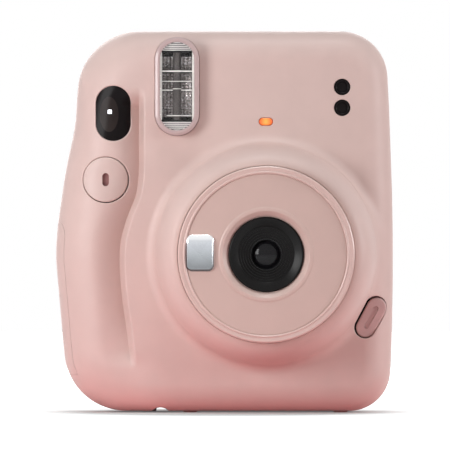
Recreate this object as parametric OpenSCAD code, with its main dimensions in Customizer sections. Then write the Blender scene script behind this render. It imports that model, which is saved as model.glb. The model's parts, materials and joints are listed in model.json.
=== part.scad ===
// Instant camera with a pop-out lens, a pull-out close-up ring, a flash, a film chamber and a film drive.
// Millimetres. X to the viewer's right, the front looks along -Y, Z up. Drawn with the lens popped out.

/* [Body] */
// Overall width
body_w = 107.2; // [104:0.2:114]
// Overall height with the feet
body_h = 121.2; // [119:0.2:128]
// Overall depth with the lens pushed in
body_d = 67.3; // [65:0.1:74]
// Wall thickness of the shells
shell_wall = 2; // [1.6:0.1:2.4]
// Depth from the front face to the split line
front_depth = 16; // [15:0.5:19]
// Rounding of the front edge
front_edge_r = 9; // [7:0.5:10]
// Rounding of the rear edge
rear_edge_r = 6; // [5:0.5:7]
// Outline radius of the upper left corner
corner_tl = 20; // [18:0.5:22]
// Outline radius of the upper right corner
corner_tr = 15; // [14:0.5:18]
// Outline radius of the lower right corner
corner_br = 14; // [13:0.5:15]
// Outline radius of the lower left corner
corner_bl = 20; // [18:0.5:21]
// How far the upper left side leans in
lean_tl = 6.7; // [5:0.1:8]
// How far the upper right side leans in
lean_tr = 1.7; // [1:0.1:3]
// How far the lower right side leans in
lean_br = 0.8; // [0.4:0.1:2]
// How far the lower left side leans in
lean_bl = 2.6; // [1.5:0.1:4]
// Height of the widest point of the sides
bow_z = 50; // [46:0.5:54]
// Radius of the bowed sides
bow_r = 30; // [26:0.5:34]
// Round section radius of the hand grip
grip_r = 14; // [13:0.5:15]
// How far the grip lies behind the front face
grip_back = 2; // [1:0.1:3]
// Depth of the valley beside the grip
valley_depth = 7; // [5:0.5:8]
// Left edge of the raised front block at mid height
step_mid_x = -32.4; // [-34:0.1:-31]
// Left edge of the raised front block near the top
step_top_x = -26.3; // [-28:0.1:-25]
// Left edge of the raised front block near the bottom
step_low_x = -28.5; // [-30:0.1:-27]
// Height of a foot under the body
foot_h = 0.5; // [0.3:0.1:1]
// Radius of a foot
foot_r = 2.3; // [2:0.1:3]
// Depth of a foot in its pocket
foot_seat = 1.1; // [0.8:0.1:1.3]

/* [Lens] */
// Sideways place of the lens axis
lens_x = 13.2; // [12.6:0.1:13.8]
// Height of the lens axis
lens_z = 50.3; // [49:0.1:51]
// Outer radius of the lens barrel and the close-up ring
barrel_r = 27.9; // [27:0.1:28.4]
// Wall thickness of the lens barrel
barrel_wall = 1.5; // [1.2:0.1:2]
// Clearance of the barrel in its guide tube
barrel_gap = 0.3; // [0.2:0.05:0.5]
// How far the lens pops out
lens_travel = 14; // [11:0.5:15]
// How far the close-up ring pulls out
ring_travel = 6; // [4:0.5:8]
// How far the pushed-in lens stands in front of the dome
lens_proud = 0.45; // [0.3:0.05:1]
// Height of the dome round the lens
dome_h = 16.2; // [15:0.2:18]
// Radius of the dome at its foot
dome_r = 36.4; // [35.5:0.1:37.4]
// Wall thickness of the guide tube
guide_wall = 1.6; // [1.2:0.1:1.8]
// Height of the clear rim
rim_h = 3.45; // [3:0.05:4.5]
// Width of the clear rim
rim_w = 2.4; // [2:0.1:3]
// Thickness of the face plate
plate_t = 1.5; // [1.2:0.1:2]
// How far the face plate lies behind the rim
plate_back = 1.05; // [0.6:0.05:1.4]
// Radius of the funnel mouth in the face plate
funnel_r = 14.1; // [13.6:0.1:15]
// Radius of the bezel
bezel_r = 12; // [11.5:0.1:12.4]
// Radius of the bezel mouth
bezel_mouth_r = 8.8; // [8:0.1:9.4]
// Gap between the bezel and the face plate
bezel_gap = 0.3; // [0.2:0.05:0.5]
// Wall thickness of the sliding sleeve
sleeve_wall = 1.4; // [1:0.1:1.8]
// Clearance of the sleeve in the barrel
sleeve_gap = 0.1; // [0.05:0.01:0.2]
// Radius of the shutter housing
housing_r = 16; // [15.5:0.1:18]
// Radius of the front lens
front_lens_r = 9.3; // [8.6:0.1:9.8]
// Radius of the rear lens
rear_lens_r = 8.9; // [8:0.1:9.4]
// Radius of the aperture
aperture_r = 4.5; // [3:0.1:5]
// Thickness of a shutter blade
blade_t = 0.4; // [0.3:0.05:0.5]
// Distance of the blade pin from the lens axis
blade_arm = 11; // [10.6:0.1:11.4]
// Radius of the blade pin
blade_pin_r = 0.8; // [0.6:0.05:1]
// Width of the close-up mirror
mirror_w = 8.8; // [7:0.1:9.2]
// Height of the close-up mirror
mirror_h = 11.4; // [9:0.1:13]
// Thickness of the close-up mirror
mirror_t = 0.8; // [0.5:0.05:1]
// Distance of the mirror from the lens axis
mirror_arm = 20.6; // [20.3:0.1:20.8]

/* [Flash] */
// Sideways place of the flash
flash_x = -15; // [-16:0.1:-14.5]
// Distance of the flash centre below the top
flash_drop = 17.6; // [16.8:0.1:19]
// Width of the flash window
flash_w = 14.6; // [13:0.1:15]
// Height of the flash window
flash_h = 31.6; // [29:0.1:32]
// How far the flash window stands in front of the body
flash_proud = 4; // [2:0.1:5]
// Wall thickness of the flash window
flash_wall = 1.2; // [1:0.1:1.5]
// Radius of the flash tube
tube_r = 1.3; // [1:0.1:1.6]
// Radius of the flash capacitor
cap_r = 5; // [4:0.1:5.2]
// Length of the flash capacitor
cap_len = 32; // [26:0.5:36]

/* [Viewfinder] */
// Distance of the viewfinder axis from the left side
finder_in = 18.2; // [17.6:0.1:18.6]
// Distance of the viewfinder axis below the top
finder_drop = 26; // [25:0.1:27]
// Width of the viewfinder window
finder_w = 11.3; // [10:0.1:12]
// Height of the viewfinder window
finder_h = 17.8; // [15:0.1:19]
// Wall thickness of the viewfinder tube
finder_wall = 0.9; // [0.7:0.1:1.2]
// How far the eyepiece stands behind the back
eye_proud = 0.9; // [0.5:0.1:1.5]
// Width of the eyepiece rim
eye_rim = 2; // [1.5:0.1:2.5]

/* [Controls] */
// Distance of the shutter button from the left side
button_in = 15.9; // [15:0.1:17]
// Height of the shutter button
button_z = 74; // [73:0.1:75]
// Radius of the shutter button
button_r = 7.25; // [6:0.05:7.6]
// Travel of the shutter button
button_travel = 1.2; // [0.8:0.1:1.4]
// Clearance round a button
button_gap = 0.2; // [0.15:0.05:0.4]
// Distance of the power button from the lens axis
power_arm = 39; // [38.6:0.1:39.4]
// Angle of the power button below the level line
power_angle = 31; // [29:0.5:33]
// Width of the power button
power_w = 6.2; // [5:0.1:6.4]
// Length of the power button
power_len = 13.6; // [12:0.1:14]
// Travel of the power button
power_travel = 1.2; // [0.8:0.1:1.4]
// Width of the ready lamp
lamp_w = 4.3; // [3:0.1:6]
// Height of the ready lamp
lamp_h = 2.3; // [1.5:0.1:3]
// Distance of the ready lamp below the top
lamp_drop = 28.8; // [28:0.1:29.6]
// Distance of the light sensors from the right side
sensor_in = 16.2; // [15.5:0.1:17]
// Distance of the upper light sensor below the top
sensor_drop = 17.8; // [17:0.1:19]
// Distance between the light sensors
sensor_step = 6.6; // [5.6:0.1:7.5]
// Radius of a light sensor window
sensor_r = 2.48; // [2:0.02:2.6]
// Clearance round lamp, sensors and other set-in windows
window_gap = 0.1; // [0.05:0.01:0.2]

/* [Film] */
// Width of a film pack
pack_w = 62; // [60:0.5:62.5]
// Height of a film pack
pack_h = 93; // [90:0.5:94]
// Clearance round the film pack
pack_gap = 0.8; // [0.5:0.1:1]
// Height of the chamber floor
chamber_z = 8; // [7.8:0.1:8.4]
// Depth from the film gate to the door
chamber_d = 12.2; // [11.5:0.1:13]
// Width of the picture gate
gate_w = 46; // [44:0.5:48]
// Height of the picture gate
gate_h = 62; // [60:0.5:64]
// Thickness of the gate plate
gate_t = 1.4; // [1:0.1:2]
// Wall thickness of the chassis
chassis_wall = 1.4; // [1.2:0.1:1.6]
// Width of a film sheet
film_w = 54; // [52:0.5:56]
// Distance of the film path behind the gate
film_in = 1.2; // [1:0.1:1.5]
// Thickness of the film door
door_t = 2.2; // [1.8:0.1:2.6]
// How far the film door covers the opening's edge
door_lap = 1.6; // [1.2:0.1:1.8]
// Corner radius of the film door
door_corner = 7; // [5:0.5:8]
// Clearance round the film door
door_gap = 0.3; // [0.25:0.05:0.4]
// Radius of the hinge barrel
hinge_r = 1.7; // [1.5:0.05:1.8]
// Radius of the hinge pin
hinge_pin_r = 0.8; // [0.6:0.05:0.9]
// Running clearance of pins and shafts
run_gap = 0.05; // [0.03:0.01:0.08]
// Length of a door knuckle
knuckle_len = 24; // [18:0.5:26]
// Width of the film window
film_window_w = 9; // [7:0.5:12]
// Height of the film window
film_window_h = 34; // [28:0.5:40]
// Width of the door latch
latch_w = 5.6; // [4.5:0.1:6]
// Height of the door latch
latch_h = 14; // [12:0.5:18]
// Travel of the door latch
latch_travel = 3; // [2:0.5:4]
// Width of a pack spring
spring_w = 6; // [5:0.5:8]
// Length of a pack spring
spring_len = 44; // [36:1:50]
// Radius of the counter dial
counter_r = 7.5; // [7:0.1:8]
// Radius of the counter window
counter_window_r = 3; // [2.5:0.1:3.4]
// Height of the counter dial's axis
counter_z = 77; // [76:0.5:78]

/* [Battery] */
// Radius of a cell
cell_r = 7.1; // [6.9:0.05:7.15]
// Length of a cell
cell_len = 50.2; // [49:0.1:50.6]
// Clearance round the cells
cell_gap = 0.3; // [0.2:0.05:0.5]
// Wall thickness of the battery box
box_wall = 1.2; // [1:0.1:1.5]
// Distance of the cells from the left side
cell_in = 12.8; // [12.6:0.1:13.4]
// Height of the underside of the cells
cell_z = 17.4; // [16.8:0.1:18]
// Height of the lower end of the battery door
battery_door_z = 12; // [11:0.5:13]
// Height of the upper end of the battery door
battery_door_top = 60.5; // [56:0.5:64]
// How far the battery door reaches in from the left side
battery_door_in = 2.6; // [2.3:0.1:3]
// Slide of the battery door
battery_door_travel = 25; // [15:1:40]
// Gap round the battery door
battery_door_gap = 0.3; // [0.2:0.05:0.4]

/* [Drive] */
// Radius of a film roller
roller_r = 3.4; // [3:0.1:3.5]
// Radius of the roller shafts
shaft_r = 1.2; // [1:0.05:1.3]
// Gap between the film rollers
nip = 0.3; // [0.3:0.05:0.6]
// Thickness of the roller frame's cheeks
cheek_t = 1.4; // [1:0.1:1.6]
// Height of the roller axes over the chassis
roller_up = 4.6; // [4.4:0.1:5]
// Thickness of a gear
gear_t = 1.8; // [1.4:0.1:2]
// Side clearance between gears
gear_gap = 0.5; // [0.4:0.05:0.6]
// Module of the drive gears
gear_m = 0.6; // [0.55:0.01:0.62]
// Teeth of the motor pinion
pinion_teeth = 10; // [10:1:12]
// Teeth of the large wheel of the reduction gear
wheel_teeth = 26; // [24:1:28]
// Teeth of the small wheel of the reduction gear
small_teeth = 12; // [11:1:13]
// Teeth of the roller's drive gear
drive_teeth = 20; // [18:1:21]
// Radius of the motor
motor_r = 5.4; // [5:0.1:5.6]
// Length of the motor
motor_len = 22; // [18:0.5:26]
// Radius of the motor shaft
motor_shaft_r = 0.8; // [0.6:0.05:0.9]

/* [Hardware] */
// Radius of a case screw's shank
screw_r = 0.95; // [0.8:0.05:1.1]
// Radius of a case screw's head
screw_head_r = 2; // [1.7:0.1:2.2]
// Radius of a screw boss
boss_r = 3.3; // [3.1:0.1:3.5]
// Thickness of the circuit board
board_t = 1.6; // [1:0.1:1.8]
// Radius of the strap bar
strap_bar_r = 1.1; // [0.9:0.05:1.3]
// Clear height of the strap bar
strap_bar_h = 10; // [8:0.5:10.5]

/* [Hidden] */
$fn = 64;
hull_fn = 32;
eps = 0.01;
skin = 0.05;
// Sides, top and levels of the body
x_l = -body_w / 2;
x_r = body_w / 2;
y_front = -(body_d + lens_travel) / 2;
y_back = (body_d + lens_travel) / 2;
dome_top_y = y_front + lens_travel + lens_proud;
front_y = dome_top_y + dome_h;
split_y = front_y + front_depth;
valley_y = front_y + valley_depth;
back_y = y_back - eye_proud;
door_floor_y = back_y - door_t - skin;
inner_back_y = door_floor_y - shell_wall;
bow_disc_l = [x_l + bow_r, bow_z, bow_r];
bow_disc_r = [x_r - bow_r, bow_z, bow_r];
disc_tl = [x_l + lean_tl + corner_tl, body_h - corner_tl, corner_tl];
disc_tr = [x_r - lean_tr - corner_tr, body_h - corner_tr, corner_tr];
disc_br = [x_r - lean_br - corner_br, foot_h + corner_br, corner_br];
disc_bl = [x_l + lean_bl + corner_bl, foot_h + corner_bl, corner_bl];
body_discs = [bow_disc_l, bow_disc_r, disc_tl, disc_tr, disc_br, disc_bl];
right_discs = [bow_disc_r, disc_tr, disc_br];
step_edge = 3;
step_mid_r = 20;
step_top_r = 5;
step_top_drop = 25.2;
step_low_r = 14;
step_discs = [
    [step_mid_x + step_mid_r, bow_z, step_mid_r],
    [step_top_x + step_top_r, body_h - step_top_drop, step_top_r],
    [step_low_x + step_low_r, foot_h + step_low_r, step_low_r]
];
grip_y = front_y + grip_back + grip_r;
grip_balls = [
    [disc_bl[0] - (corner_bl - grip_r) * 0.72, disc_bl[1] - (corner_bl - grip_r) * 0.69],
    [x_l + grip_r, bow_z],
    [disc_tl[0] - corner_tl + grip_r, disc_tl[1] - 2]
];
// Lens stack, from front to back
rim_back_y = y_front + rim_h;
plate_front_y = y_front + plate_back;
plate_back_y = plate_front_y + plate_t;
flange_t = 1.5;
barrel_front_y = rim_back_y + flange_t + skin;
chassis_y = split_y - 2;
barrel_stop = 0.6;
barrel_rear_y = chassis_y - lens_travel - barrel_stop;
web_t = 1.5;
web_y = barrel_rear_y - web_t;
barrel_in = barrel_r - barrel_wall;
sleeve_r = barrel_in - sleeve_gap;
sleeve_hold = 9;
sleeve_rear_y = barrel_front_y + ring_travel + sleeve_hold;
plate_r = barrel_r - rim_w - skin;
guide_in = barrel_r + barrel_gap;
guide_r = guide_in + guide_wall;
bezel_back = 1.3;
bezel_h = 5.2;
bezel_step = 1;
bezel_floor = 0.8;
bezel_lip = 0.6;
bezel_front_y = plate_front_y + bezel_back;
housing_y = bezel_front_y + bezel_h;
front_lens_t = 3.6;
blade_back = 5.5;
blade_y = housing_y + blade_back;
blade_room = 2;
stop_y = blade_y + blade_room;
lens_bore = front_lens_r + window_gap;
rear_bore = rear_lens_r + window_gap;
blade_pin_x = lens_x - blade_arm;
// Flash, viewfinder and controls
flash_z = body_h - flash_drop;
cap_up = 2.6;
reflector_room = 9;
reflector_w = flash_w - 2 * flash_wall - 1.4;
reflector_h = flash_h - reflector_room;
reflector_y = front_y - flash_proud + flash_wall + 1.2;
tube_y = reflector_y + 2.2;
board_front = 4;
board_y = chassis_y - board_front;
board_peg_r = 1.1;
board_peg_dx = 18;
board_peg_drop = 7.6;
board_low = 2.6;
board_side = 3;
board_drop = 13;
finder_x = x_l + finder_in;
finder_z = body_h - finder_drop;
finder_surf_y = front_y + grip_back;
button_x = x_l + button_in;
lamp_z = body_h - lamp_drop;
sensor_x = x_r - sensor_in;
sensor_z = body_h - sensor_drop;
sensor_peg_dx = 6.2;
power_x = lens_x + power_arm * cos(power_angle);
power_z = lens_z - power_arm * sin(power_angle);
power_face_y = front_y + 1.2;
// Film chamber
chamber_x0 = lens_x - pack_w / 2 - pack_gap;
chamber_x1 = lens_x + pack_w / 2 + pack_gap;
chamber_top = chamber_z + pack_h + 2 * pack_gap;
chassis_x0 = chamber_x0 - chassis_wall;
chassis_x1 = chamber_x1 + chassis_wall;
chassis_top = chamber_top + chassis_wall;
board_pegs = [
    [lens_x - board_peg_dx, chassis_top - board_peg_drop],
    [sensor_x - sensor_peg_dx, chassis_top - board_peg_drop]
];
gate_y = door_floor_y - chamber_d;
film_y = gate_y + film_in;
exit_side = 1.5;
exit_half = 1.6;
exit_deep = 6;
door_x0 = chamber_x0 - door_lap - 1.4;
door_x1 = chamber_x1 + door_lap;
door_z0 = chamber_z - door_lap;
door_z1 = chamber_top + door_lap;
door_face_y = door_floor_y + skin;
hinge_x = door_x0 - hinge_r - 0.35;
hinge_y = back_y - hinge_r;
hinge_floor_y = hinge_y - hinge_r - 0.3;
door_mid_z = (door_z0 + door_z1) / 2;
knuckle_dz = 8;
knuckle_a0 = door_mid_z - knuckle_dz - knuckle_len;
knuckle_a1 = door_mid_z - knuckle_dz;
knuckle_b0 = door_mid_z + knuckle_dz;
knuckle_b1 = door_mid_z + knuckle_dz + knuckle_len;
film_window_up = 4;
film_window_z = lens_z + film_window_up;
spring_dx = 17;
spring_t = 0.4;
spring_lift = 0.5;
spring_pad = 6;
latch_in = 2.6;
latch_x = door_x1 - latch_w / 2 - latch_in;
latch_z = film_window_z;
latch_y = door_face_y + 1;
latch_proud = 0.6;
latch_gap = 0.3;
latch_pitch = 2.4;
counter_dx = 3.4;
counter_x = finder_x + counter_dx;
counter_stud_r = 1.5;
counter_window_x = counter_x - counter_r + counter_window_r + 0.4;
counter_y = inner_back_y - 1.6;
// Battery box
cell_x = x_l + cell_in;
cell_back = 8.4;
cell_tip_r = 2.6;
cell_tip_h = 1.2;
contact_t = 1.1;
cell_y0 = valley_y + cell_back;
cell_y1 = cell_y0 + 2 * cell_r + cell_gap;
box_x1 = cell_x + cell_r + cell_gap;
box_y0 = cell_y0 - cell_r - cell_gap;
box_y1 = cell_y1 + cell_r + cell_gap;
box_z0 = cell_z - contact_t;
box_z1 = cell_z + cell_len + contact_t;
box_x0 = cell_x - 1.6;
switch_y = chassis_y + 1.4;
switch_w = 6;
switch_t = 2.8;
power_switch_t = 3.2;
press_gap = 0.2;
button_stem_r = 2.2;
button_cap_t = 5;
button_stem_y = switch_y - switch_t - button_travel - press_gap;
// Film drive
roller_z = chassis_top + roller_up;
roller_y0 = film_y - roller_r - nip / 2;
roller_y1 = film_y + roller_r + nip / 2;
cheek_in = 9.2;
cheek_reach = 4;
cheek_over = 3;
roller_end_gap = 0.3;
cheek_x0 = chassis_x0 + 0.6;
cheek_x1 = x_r - cheek_in;
roller_x0 = cheek_x0 + cheek_t + roller_end_gap;
roller_x1 = cheek_x1 - roller_end_gap;
roller_teeth = 12;
roller_gear_m = (roller_y1 - roller_y0) / roller_teeth;
gear_a_x = cheek_x0 - gear_gap - gear_t;
gear_b_x = gear_a_x - gear_gap - gear_t;
gear_c_x = gear_b_x - gear_gap - gear_t;
drive_dist = gear_m * (small_teeth + drive_teeth) / 2;
pinion_dist = gear_m * (pinion_teeth + wheel_teeth) / 2;
motor_front = 1.2;
motor_y = roller_y0 - roller_r - motor_r - motor_front;
motor_z = chassis_top + motor_r + skin;
motor_dist = norm([roller_y0 - motor_y, roller_z - motor_z]);
motor_dir = atan2(motor_z - roller_z, motor_y - roller_y0);
motor_cos = (drive_dist ^ 2 + motor_dist ^ 2 - pinion_dist ^ 2) / (2 * drive_dist * motor_dist);
idle_dir = motor_dir + acos(motor_cos);
idle_y = roller_y0 + drive_dist * cos(idle_dir);
idle_z = roller_z + drive_dist * sin(idle_dir);
pinion_dir = atan2(idle_z - motor_z, idle_y - motor_y);
motor_in = 6;
motor_x0 = chassis_x0 + motor_in;
gear_hub_r = 2.2;
// Case screws, strap bar and feet
screw_top_dx = 5.2;
screw_top_drop = 8.8;
screw_low_dx = 1;
screw_low_up = 9;
screw_mid_up = 12;
screw_head_h = 1.6;
screw_head_gap = 0.2;
screw_spots = [
    [gear_c_x - screw_top_dx, body_h - screw_top_drop, front_y + shell_wall],
    [step_low_x + screw_low_dx, foot_h + screw_low_up, valley_y + 1],
    [(box_x1 + box_wall + chassis_x0) / 2, bow_z + screw_mid_up, front_y + shell_wall]
];
screw_seat = 6;
screw_bite = 7;
screw_seat_y = split_y + screw_seat;
screw_tip_y = split_y - screw_bite;
strap_in = 2.3;
strap_back = 11;
strap_up = 0.6;
strap_x = disc_tl[0] - corner_tl + strap_in;
strap_y = split_y + strap_back;
strap_z = disc_tl[1] + strap_up;
strap_room = 3.2;
strap_reach = 5;
strap_wall = 1.2;
strap_seat = strap_bar_h / 2 + 1.4;
foot_left_x = -10.9;
foot_right_x = 37;
foot_rear_x = -24;
foot_front_y = split_y - 4.4;
foot_rear_y = inner_back_y - 8;
foot_spots = [
    [foot_left_x, foot_front_y],
    [foot_right_x, foot_front_y],
    [foot_rear_x, foot_rear_y],
    [foot_right_x, foot_rear_y]
];

// A solid that runs along Y between two levels, its outline drawn in X and Z
module prism_y(y0, y1) {
    translate([0, y1, 0])
        rotate([90, 0, 0])
            linear_extrude(y1 - y0)
                children();
}

// A solid turned round an axis along Y, its outline drawn as radius and Y
module turned_y(x, z) {
    translate([x, 0, z])
        rotate([-90, 0, 0])
            rotate_extrude()
                children();
}

// A round bar along Y
module rod_y(x, z, y0, y1, r) {
    translate([x, y0, z])
        rotate([-90, 0, 0])
            cylinder(h = y1 - y0, r = r);
}

// A round bar along X
module rod_x(y, z, x0, x1, r) {
    translate([x0, y, z])
        rotate([0, 90, 0])
            cylinder(h = x1 - x0, r = r);
}

// A round bar along Z
module rod_z(x, y, z0, z1, r) {
    translate([x, y, z0])
        cylinder(h = z1 - z0, r = r);
}

// A block between two corners
module block(a, b) {
    translate(a)
        cube([b[0] - a[0], b[1] - a[1], b[2] - a[2]]);
}

// Upright oblong with round ends
module oblong(w, h) {
    square([w, h - w], center = true);
    translate([0, (h - w) / 2])
        circle(w / 2);
    translate([0, (w - h) / 2])
        circle(w / 2);
}

// Rectangle with round corners between two corner points
module round_rect(x0, z0, x1, z1, r) {
    translate([x0 + r, z0])
        square([x1 - x0 - 2 * r, z1 - z0]);
    translate([x0, z0 + r])
        square([x1 - x0, z1 - z0 - 2 * r]);
    for (x = [x0 + r, x1 - r])
        for (z = [z0 + r, z1 - r])
            translate([x, z])
                circle(r);
}

// Disc with a rounded front edge and a rounded rear edge, the building block of the hulled forms
module rim_disc(c, inset, y0, y1, e0, e1) {
    r = c[2] - inset;
    front_arc = [for (a = [0 : 15 : 90]) [r - e0 + e0 * sin(a), y0 + e0 - e0 * cos(a)]];
    rear_arc = [for (a = [0 : 15 : 90]) [r - e1 + e1 * cos(a), y1 - e1 + e1 * sin(a)]];
    translate([c[0], 0, c[1]])
        rotate([-90, 0, 0])
            rotate_extrude($fn = hull_fn)
                polygon(concat([[0, y0]], front_arc, rear_arc, [[0, y1]]));
}

// Whole outline of the body between two levels
module outline_form(inset, y0, y1, e0, e1) {
    hull() {
        for (c = body_discs)
            rim_disc(c, inset, y0, y1, e0, e1);
    }
}

// Raised front block that carries the lens
module front_block(inset, y1) {
    hull() {
        for (c = right_discs)
            rim_disc(c, inset, front_y + inset, y1, front_edge_r - inset, 0.1);
        for (c = step_discs)
            rim_disc(c, inset, front_y + inset, y1, step_edge - inset, 0.1);
    }
}

// Hand grip at the left
module grip_form(inset) {
    hull() {
        for (c = grip_balls)
            translate([c[0], grip_y, c[1]])
                sphere(grip_r - inset, $fn = hull_fn);
    }
}

// Forehead over the grip
module top_block() {
    reach = corner_tl - front_edge_r;
    hull() {
        for (a = [35, 62, 90])
            translate([disc_tl[0] - reach * cos(a), front_y + front_edge_r, disc_tl[1] + reach * sin(a)])
                sphere(front_edge_r, $fn = hull_fn);
        rim_disc(disc_tr, 0, front_y, split_y, front_edge_r, 0.1);
    }
}

// Outline of the dome round the lens, drawn inset by a wall
module dome_half(inset) {
    r0 = guide_in + 1.4 - inset * 0.2;
    r1 = dome_r - inset;
    h = dome_h - inset;
    curve = [for (a = [0 : 7.5 : 90]) [r0 + (r1 - r0) * sin(a), front_y - h * cos(a)]];
    polygon(concat([[0, front_y - h]], curve, [[r1, front_y + 6], [0, front_y + 6]]));
}

// Spur gear outline with straight flanks and running play
module gear_flat(m, teeth, turn) {
    pitch_r = m * teeth / 2;
    tip_r = pitch_r + 0.75 * m;
    root_r = pitch_r - 1.15 * m;
    step = 360 / teeth;
    rotate(turn)
        polygon([for (i = [0 : teeth - 1]) for (p = [[-0.31, root_r], [-0.19, pitch_r], [-0.09, tip_r],
            [0.09, tip_r], [0.19, pitch_r], [0.31, root_r]])
            [p[1] * cos((i + p[0]) * step), p[1] * sin((i + p[0]) * step)]]);
}

// Gear with its axis along X and a bore
module gear_x(x, y, z, m, teeth, turn, t, bore) {
    translate([x, y, z])
        rotate([90, 0, 90])
            difference() {
                linear_extrude(t)
                    gear_flat(m, teeth, turn);
                translate([0, 0, -1])
                    cylinder(h = t + 2, r = bore);
            }
}

module power_spot() {
    translate([power_x, power_z])
        rotate(-27.6)
            children();
}

module front_shell() {
    color([0.85, 0.72, 0.69])
    difference() {
        union() {
            difference() {
                union() {
                    outline_form(0, valley_y, split_y, split_y - valley_y, 0.1);
                    front_block(0, split_y);
                    intersection() {
                        top_block();
                        block([x_l, front_y - 1, 0], [x_r, split_y, body_h]);
                    }
                    intersection() {
                        grip_form(0);
                        block([x_l - 1, front_y, 0], [0, split_y, body_h]);
                    }
                    turned_y(lens_x, lens_z)
                        dome_half(0);
                }
                outline_form(shell_wall, valley_y + shell_wall, split_y + 1, 6, 0.1);
                front_block(shell_wall, split_y + 1);
                intersection() {
                    grip_form(shell_wall);
                    block([x_l - 1, front_y, 0], [0, split_y + 1, body_h]);
                }
                turned_y(lens_x, lens_z)
                    dome_half(shell_wall);
            }
            for (p = screw_spots)
                rod_y(p[0], p[1], p[2], split_y, boss_r);
        }
        for (p = screw_spots)
            rod_y(p[0], p[1], screw_tip_y - 1, split_y + 1, screw_r + skin);
        rod_y(lens_x, lens_z, dome_top_y - 1, front_y, guide_in);
        prism_y(front_y - 1, valley_y + 4)
            translate([flash_x, flash_z])
                oblong(flash_w + 2 * window_gap, flash_h + 2 * window_gap);
        prism_y(front_y - 1, split_y - 1)
            translate([finder_x, finder_z])
                oblong(finder_w + 2 * window_gap, finder_h + 2 * window_gap);
        rod_y(button_x, button_z, front_y - 1, split_y - 1, button_r + button_gap);
        prism_y(front_y - 1, valley_y + 4)
            power_spot()
                oblong(power_w + 2 * button_gap, power_len + 2 * button_gap);
        prism_y(front_y - 1, valley_y)
            translate([lens_x, lamp_z])
                rotate(90)
                    oblong(lamp_h + 2 * window_gap, lamp_w + 2 * window_gap);
        for (z = [sensor_z, sensor_z - sensor_step])
            rod_y(sensor_x, z, front_y - 1, valley_y, sensor_r + window_gap);
        for (p = [foot_spots[0], foot_spots[1]])
            rod_z(p[0], p[1], 0, foot_h + foot_seat, foot_r + window_gap);
        battery_door_zone(battery_door_gap);
    }
}

// The strip of the left side that comes off with the battery door
module battery_door_zone(gap) {
    reach = battery_door_in + gap;
    low_x = disc_bl[0] - sqrt(corner_bl ^ 2 - (disc_bl[1] - battery_door_z) ^ 2);
    high_x = bow_disc_l[0] - sqrt(bow_r ^ 2 - (battery_door_top - bow_z) ^ 2);
    prism_y(front_y, inner_back_y - 4 + gap)
        polygon([[x_l - 2, battery_door_z - gap], [low_x + reach, battery_door_z - gap],
            [x_l + lean_bl + reach, disc_bl[1]], [x_l + reach, bow_z],
            [high_x + reach, battery_door_top + gap], [x_l - 2, battery_door_top + gap]]);
}

module rear_shell() {
    pocket_x = strap_x + strap_room;
    color([0.85, 0.72, 0.69])
    difference() {
        union() {
            difference() {
                outline_form(0, split_y, back_y, 0.1, rear_edge_r);
                outline_form(shell_wall, split_y - 1, inner_back_y, 0.1, rear_edge_r - shell_wall);
            }
            for (p = screw_spots)
                rod_y(p[0], p[1], split_y, inner_back_y + 1, boss_r);
            block([strap_x, strap_y - strap_reach - strap_wall, strap_z - strap_seat],
                [pocket_x + 1, strap_y + strap_reach + strap_wall, strap_z + strap_seat]);
            rod_y(counter_x, counter_z, counter_y - 1.8, inner_back_y + 1, counter_stud_r);
        }
        for (p = screw_spots) {
            rod_y(p[0], p[1], screw_seat_y, back_y + 1, screw_head_r + screw_head_gap);
            rod_y(p[0], p[1], split_y - 1, screw_seat_y + 1, screw_r + skin);
        }
        block([x_l - 1, strap_y - strap_reach, strap_z - strap_bar_h / 2],
            [pocket_x, strap_y + strap_reach, strap_z + strap_bar_h / 2]);
        rod_z(strap_x, strap_y, strap_z - strap_bar_h / 2 - 1, strap_z + strap_bar_h / 2 + 1, strap_bar_r);
        prism_y(inner_back_y - 1, back_y + 1)
            round_rect(chamber_x0, chamber_z, chamber_x1, chamber_top, 2);
        prism_y(door_floor_y, back_y + 1)
            round_rect(door_x0 - door_gap, door_z0 - door_gap, door_x1 + door_gap, door_z1 + door_gap,
                door_corner + door_gap);
        block([hinge_x - hinge_r - 0.3, hinge_floor_y, door_z0 - door_gap],
            [door_x0 + door_corner, back_y + 1, door_z1 + door_gap]);
        prism_y(inner_back_y - 1, back_y + 1)
            translate([finder_x, finder_z])
                oblong(finder_w - 2, finder_h - 5);
        rod_y(counter_window_x, counter_z, inner_back_y - 1, back_y + 1, counter_window_r + window_gap);
        block([lens_x - film_w / 2 - exit_side, film_y - exit_half, body_h - exit_deep],
            [lens_x + film_w / 2 + exit_side, film_y + exit_half, body_h + 1]);
        for (p = [foot_spots[2], foot_spots[3]])
            rod_z(p[0], p[1], 0, foot_h + foot_seat, foot_r + window_gap);
        battery_door_zone(battery_door_gap);
    }
    color([0.85, 0.72, 0.69])
    for (k = [[door_z0, knuckle_a0 - 0.2], [knuckle_a1 + 0.2, knuckle_b0 - 0.2], [knuckle_b1 + 0.2, door_z1]])
        difference() {
            union() {
                rod_z(hinge_x, hinge_y, k[0], k[1], hinge_r);
                block([hinge_x - hinge_r - 0.3, hinge_floor_y, k[0]], [hinge_x, hinge_y, k[1]]);
            }
            rod_z(hinge_x, hinge_y, k[0] - 1, k[1] + 1, hinge_pin_r);
        }
}

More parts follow.
